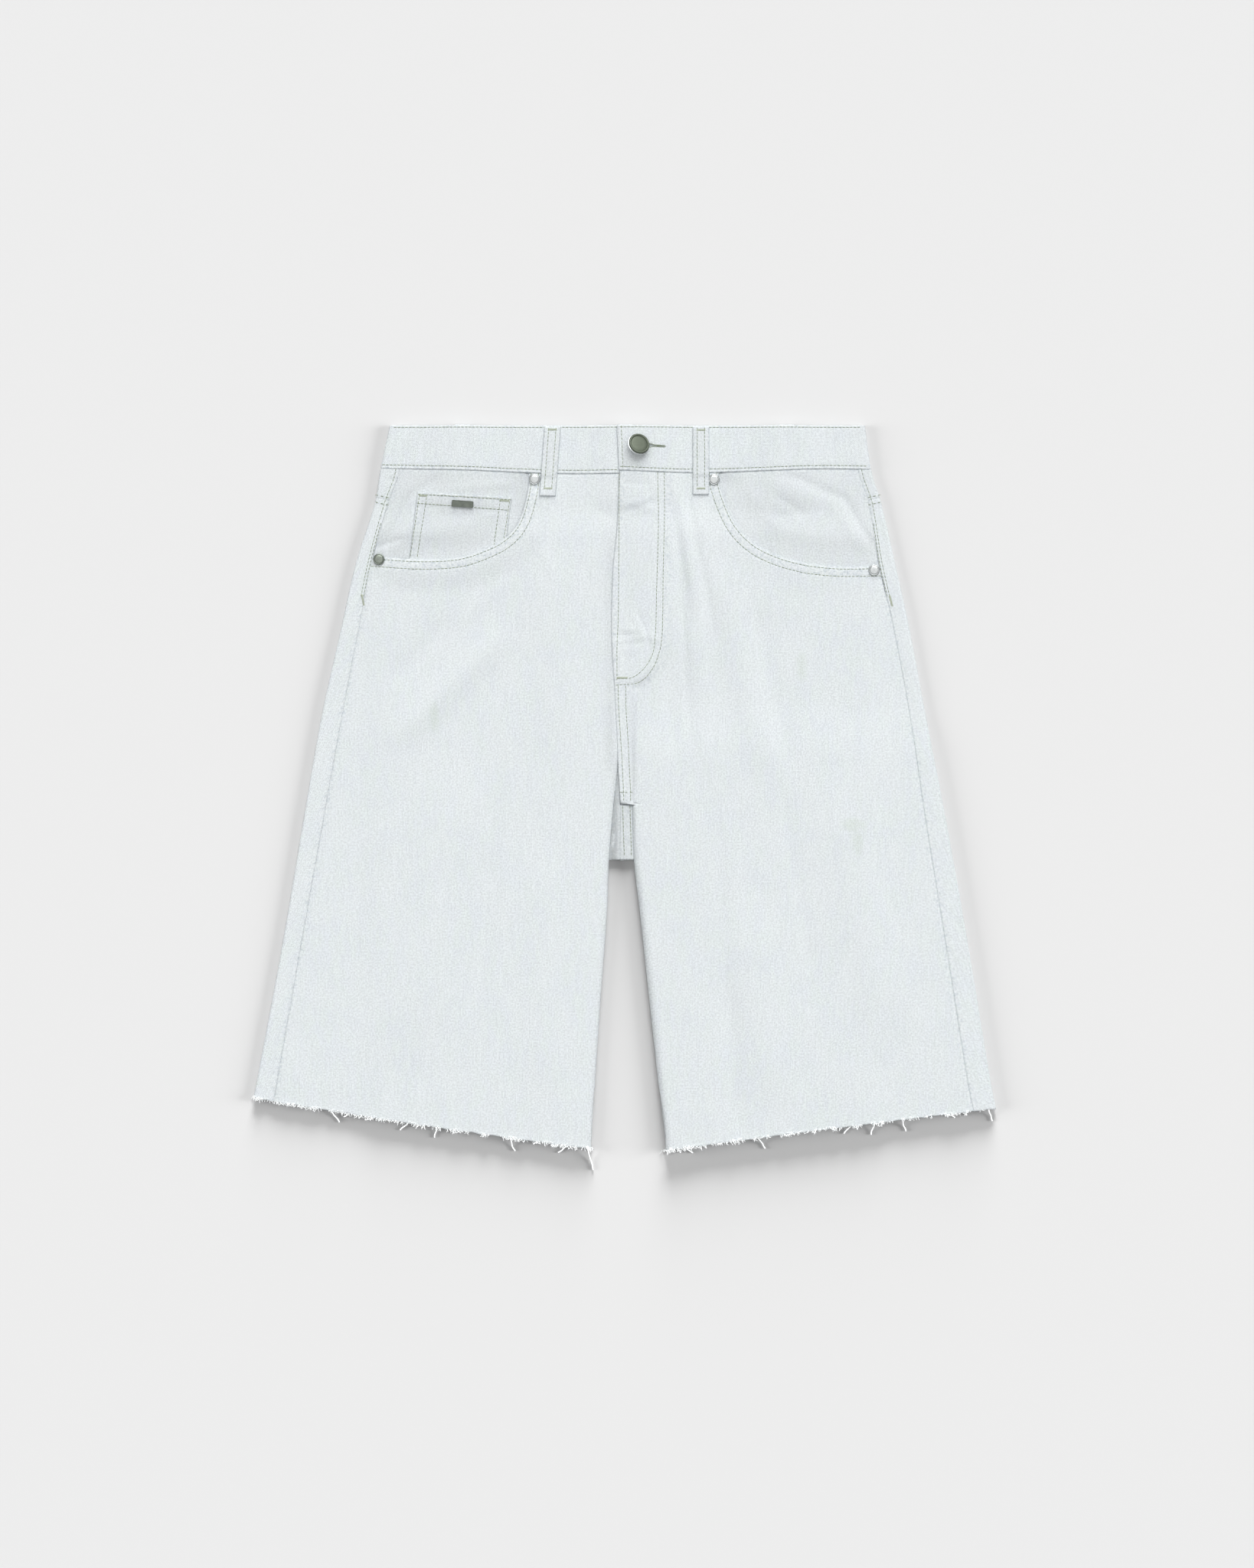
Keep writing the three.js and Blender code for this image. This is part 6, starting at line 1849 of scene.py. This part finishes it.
def yarn_tree():
    """Short bent yarns scattered along the rows, pointing away from the waist."""
    tree = bpy.data.node_groups.new("loose_yarns_along_rows", "GeometryNodeTree")
    sockets, given = group_sockets(tree, [
        ("Rows", "NodeSocketGeometry"), ("Pitch", "NodeSocketFloat"), ("Length", "NodeSocketFloat"),
        ("Thread", "NodeSocketFloat"), ("Material", "NodeSocketMaterial"),
    ], output="Yarns")
    steps = add_node(tree, "GeometryNodeResampleCurve", {"Curve": given.outputs["Rows"]})
    steps.mode = "LENGTH"
    tree.links.new(given.outputs["Pitch"], steps.inputs["Length"])
    half = add_node(tree, "ShaderNodeMath", {0: given.outputs["Length"], 1: 0.5}, operation="MULTIPLY")
    sideways = add_node(tree, "ShaderNodeMath", {0: given.outputs["Length"], 1: 0.28}, operation="MULTIPLY")
    fall = add_node(tree, "ShaderNodeMath", {0: given.outputs["Length"], 1: -1.0}, operation="MULTIPLY")
    half_fall = add_node(tree, "ShaderNodeMath", {0: half.outputs[0], 1: -1.0}, operation="MULTIPLY")
    middle = add_node(tree, "ShaderNodeCombineXYZ", {"X": sideways.outputs[0], "Y": half_fall.outputs[0]})
    end = add_node(tree, "ShaderNodeCombineXYZ", {"Y": fall.outputs[0]})
    bend = add_node(tree, "GeometryNodeCurveQuadraticBezier", {
        "Resolution": 4, "Start": (0, 0, 0), "Middle": middle.outputs["Vector"], "End": end.outputs["Vector"],
    })
    profile = add_node(tree, "GeometryNodeCurvePrimitiveCircle", {"Resolution": 3})
    half_thread = add_node(tree, "ShaderNodeMath", {0: given.outputs["Thread"], 1: 0.5}, operation="MULTIPLY")
    tree.links.new(half_thread.outputs[0], profile.inputs["Radius"])
    yarn = add_node(tree, "GeometryNodeCurveToMesh", {
        "Curve": bend.outputs["Curve"], "Profile Curve": profile.outputs["Curve"], "Fill Caps": True,
    })
    spin = add_node(tree, "FunctionNodeRandomValue", {"Min": (-0.35, -0.5, -1.1), "Max": (0.12, 0.5, 1.1), "Seed": 3},
                    data_type="FLOAT_VECTOR")
    size = add_node(tree, "FunctionNodeRandomValue", {"Min": (0.6, 0.25, 0.7), "Max": (1.2, 1.25, 1.2), "Seed": 5},
                    data_type="FLOAT_VECTOR")
    flip = add_node(tree, "FunctionNodeRandomValue", {"Probability": 0.5, "Seed": 9}, data_type="BOOLEAN")
    mirror = add_node(tree, "GeometryNodeSwitch", {"Switch": flip.outputs[3], "False": (1, 1, 1), "True": (-1, 1, 1)},
                      input_type="VECTOR")
    stretch = add_node(tree, "ShaderNodeVectorMath", {0: size.outputs[0], 1: mirror.outputs["Output"]}, operation="MULTIPLY")
    placed = add_node(tree, "GeometryNodeInstanceOnPoints", {
        "Points": steps.outputs["Curve"], "Instance": yarn.outputs["Mesh"],
        "Rotation": spin.outputs[0], "Scale": stretch.outputs["Vector"],
    })
    real = add_node(tree, "GeometryNodeRealizeInstances", {"Geometry": placed.outputs["Instances"]})
    smooth_yarn = add_node(tree, "GeometryNodeSetShadeSmooth", {"Geometry": real.outputs["Geometry"]})
    coloured = add_node(tree, "GeometryNodeSetMaterial", {
        "Geometry": smooth_yarn.outputs["Geometry"], "Material": given.outputs["Material"],
    })
    add_node(tree, "NodeGroupOutput", {"Yarns": coloured.outputs["Geometry"]})
    return tree, {name: socket.identifier for name, socket in sockets.items()}


YARNS, YARN_INPUTS = yarn_tree()
cotton_yarn = thread_material("frayed_white_cotton_yarn", "#EFF3F3", "#FAFBFB", 0.3 * MM)


def hem_rows(side, layer):
    """Rows from which the yarns of one layer hang: the edge itself and one a little inside it."""
    leg_in = abs(float(inner_leg(side, 580))) + 1
    leg_out = float(edge_out(side, 590)) - 2
    across = side.hand * np.linspace(leg_in, leg_out, 400)
    rows = []
    for inside, seed in ((0.4, 71), (1.6, 72)):
        down = hem_down(side, across) - HEM_CUT + hem_wave(across) - inside
        if layer == "front":
            level = front_level(side, across, down) + 0.25
        else:
            level = BACK_LEVEL + lift(across, down) + 0.2 + 0 * across
        points = place(across, down, level + 0.2 * ripple(across, down, 6, seed))
        frayed = ripple(across, 0 * across, 15, seed) > (-0.1 if layer == "front" else 0.2)
        breaks = np.flatnonzero(np.diff(frayed.astype(int))) + 1
        tufts = zip(np.split(points, breaks), np.split(frayed, breaks))
        rows += [tuft for tuft, kept in tufts if kept[0] and len(tuft) > 2]
    return rows


hems = {}
for side in SIDES:
    for layer in ("front", "back"):
        name = f"fringe_{layer}_{side.name}"
        hems[name] = grown("yarn_" + name, hem_rows(side, layer), YARNS, YARN_INPUTS,
                           Pitch=(0.8 if layer == "front" else 1.2) * MM, Length=YARN_LENGTH * MM,
                           Thread=YARN * MM, Material=cotton_yarn)


def long_thread_rows(side):
    rows = []
    threads = LONG_THREADS[side.name]
    for number, (root, aside, fall) in enumerate(zip(threads["root"], threads["across"], threads["fall"])):
        t = np.linspace(0, 1, 28)
        root_down = float(hem_down(side, np.array(root))) - 2
        wander = 0.5 * np.sin(t * 9 + number) * t
        across = root + aside * t ** 1.3 + wander
        down = root_down + (fall + 2) * t + 0.4 * np.sin(t * 7 + 2 * number) * t
        high = float(front_level(side, np.array(root), np.array(root_down)))
        level = mix(high, LONG_YARN / 2 + 0.05, smooth(0, 0.75, t))
        rows.append(place(across, down, level))
    return rows


def tube(name, rows, width, material):
    """Round threads along rows of points."""
    guide = curve_object(name + "_guide", rows)
    guide.data.bevel_depth = width / 2
    guide.data.bevel_resolution = 1
    guide.data.use_fill_caps = True
    graph = bpy.context.evaluated_depsgraph_get()
    mesh = bpy.data.meshes.new_from_object(guide.evaluated_get(graph))
    bpy.data.objects.remove(guide)
    mesh.materials.clear()
    mesh.materials.append(material)
    for face in mesh.polygons:
        face.use_smooth = True
    piece = bpy.data.objects.new(name, mesh)
    bpy.context.scene.collection.objects.link(piece)
    return piece


long_threads = {
    side.name: tube("long_threads_" + side.name, long_thread_rows(side), LONG_YARN * MM, cotton_yarn) for side in SIDES
}

# %% [markdown]
# ## Which piece stands for which solid
# Each finished piece replaces its solid, carries its material and rides on the part's frame. The flat
# size of each piece of cloth is worked out from its own middle surface.

# %% Pieces to the frame
for side in SIDES:
    dress(fronts[side.name], bleached_denim, "front_" + side.name, slot="denim")
    dress(backs[side.name], bleached_denim, "back_" + side.name, slot="denim")
    dress(yokes[side.name], bleached_denim, "yoke_" + side.name, slot="denim")
    dress(facings[side.name], bleached_denim, "facing_" + side.name, slot="denim")
    dress(back_pockets[side.name], bleached_denim, "back_pocket_" + side.name, slot="denim")
dress(waistband, bleached_denim, "waistband", slot="denim")
dress(coin_pocket, bleached_denim, "coin_pocket", slot="denim")
for name, loop in loops.items():
    dress(loop, bleached_denim, name, slot="denim")
for name, yarns in hems.items():
    dress(yarns, cotton_yarn, name, slot="hem_threads")
for threads in long_threads.values():
    dress(threads, cotton_yarn, slot="hem_threads")
for stitches in (topstitch_front, topstitch_back, buttonhole):
    dress(stitches, sage_thread, slot="topstitch")
dress(bartacks, washed_thread, slot="topstitch")
dress(button_piece, antique_steel, "button", slot="steel")
dress(button_ring, nickel, slot="steel")
for name, piece in rivets.items():
    # one rivet gets the darker nickel, a painted dark reflection
    dress(piece, nickel_painted_dark_reflection if name == "rivet_right_side" else nickel, name, slot="steel")
dress(plate_piece, gunmetal, "coin_plate", slot="gunmetal")

for side in SIDES:
    declare_sheet(backs[side.name])
    declare_sheet(yokes[side.name])
    declare_sheet(fronts[side.name])
    declare_sheet(facings[side.name])
    declare_sheet(back_pockets[side.name])
declare_sheet(waistband)
declare_sheet(coin_pocket)
for name, loop in loops.items():
    declare_sheet(loop)

# %% [markdown]
# ## Table and light
# The photograph was taken straight down on a plain light grey ground, under a large soft light
# from beyond the waist, which leaves a soft shadow below the hems. The ground is a plane just
# under the cloth. A wide sun stands for the soft box, and the rest is an even sky with a darker
# half, so that the metal has something to mirror.

# %% Table
TABLE_GREY = "#C3C3C3"
bpy.ops.mesh.primitive_plane_add(size=12, location=(0, 0, -0.3 * MM))
floor = bpy.context.object
floor.name = "ground"
ground_material, _tree, ground_shader = new_material("matt_light_grey_ground")
ground_shader.inputs["Base Color"].default_value = linear(TABLE_GREY)
ground_shader.inputs["Roughness"].default_value = 0.9
ground_shader.inputs["Specular IOR Level"].default_value = 0.1
floor.data.materials.append(ground_material)

# %% Light and camera
world = bpy.data.worlds.new("soft_studio")
bpy.context.scene.world = world
world.use_nodes = True
SKY = 0.3
sky_shader = world.node_tree.nodes["Background"]
sky_shader.inputs["Color"].default_value = (1, 1, 1, 1)
sky_way = add_node(world.node_tree, "ShaderNodeTexCoord").outputs["Generated"]
sky_height = add_node(world.node_tree, "ShaderNodeSeparateXYZ", {"Vector": sky_way}).outputs["Z"]
sky_light = add_node(world.node_tree, "ShaderNodeMapRange", {
    "Value": sky_height, "From Min": 0.0, "From Max": 1.0, "To Min": 0.45 * SKY, "To Max": 1.28 * SKY,
})
world.node_tree.links.new(sky_light.outputs["Result"], sky_shader.inputs["Strength"])

shorts_only = bpy.data.collections.new("lit_shorts")
ground_only = bpy.data.collections.new("lit_ground")
yarns_only = bpy.data.collections.new("lit_yarns")
ground_only.objects.link(floor)
loose = [*hems.values(), *long_threads.values()]
for piece in list(bpy.context.scene.objects):
    if piece.type == "MESH" and piece is not floor:
        (yarns_only if piece in loose else shorts_only).objects.link(piece)


def sun(name, elevation, azimuth, wide, share, lit):
    """A sun that shines from an azimuth, counted from +Y towards +X, in degrees, and gives a flat
    level surface that share of full white light. It lights only what is in `lit`."""
    lamp = bpy.data.lights.new(name, "SUN")
    lamp.energy = share * math.pi / math.sin(math.radians(elevation))
    lamp.angle = math.radians(wide)
    lamp_object = bpy.data.objects.new(name, lamp)
    lamp_object.light_linking.receiver_collection = lit
    up, around = math.radians(elevation), math.radians(azimuth)
    towards = Vector((math.sin(around) * math.cos(up), math.cos(around) * math.cos(up), math.sin(up)))
    lamp_object.rotation_euler = towards.to_track_quat("Z", "Y").to_euler()
    bpy.context.scene.collection.objects.link(lamp_object)
    return lamp_object


sun("key", 40, 12, 56, 0.42, shorts_only)
sun("top", 86, 0, 80, 0.27, shorts_only)
sun("yarns_from_above", 86, 180, 14, 1.25, yarns_only)
sun("ground_beyond_waist", 12, 4, 24, 0.68, ground_only)
sun("ground_from_right", 16, 90, 26, 0.34, ground_only)
sun("ground_from_left", 16, -90, 26, 0.23, ground_only)

PHOTO_MM = 0.66            # to a pixel of the photograph
FRAME_HIGH = 2048 * PHOTO_MM * MM
CLOTH_TOP = 5.5            # the level at which a pixel is that size
LENS, SENSOR = 85, 36
camera_data = bpy.data.cameras.new("overhead")
camera_data.lens = LENS
camera_data.sensor_width = SENSOR
camera_data.sensor_fit = "VERTICAL"
camera_data.sensor_height = SENSOR
camera = bpy.data.objects.new("overhead", camera_data)
away = FRAME_HIGH * LENS / SENSOR
camera.location = place(2.3, 308.9, away / MM + CLOTH_TOP)
camera_data.clip_end = 20
bpy.context.scene.collection.objects.link(camera)
bpy.context.scene.camera = camera
bpy.context.scene.view_settings.view_transform = "Standard"
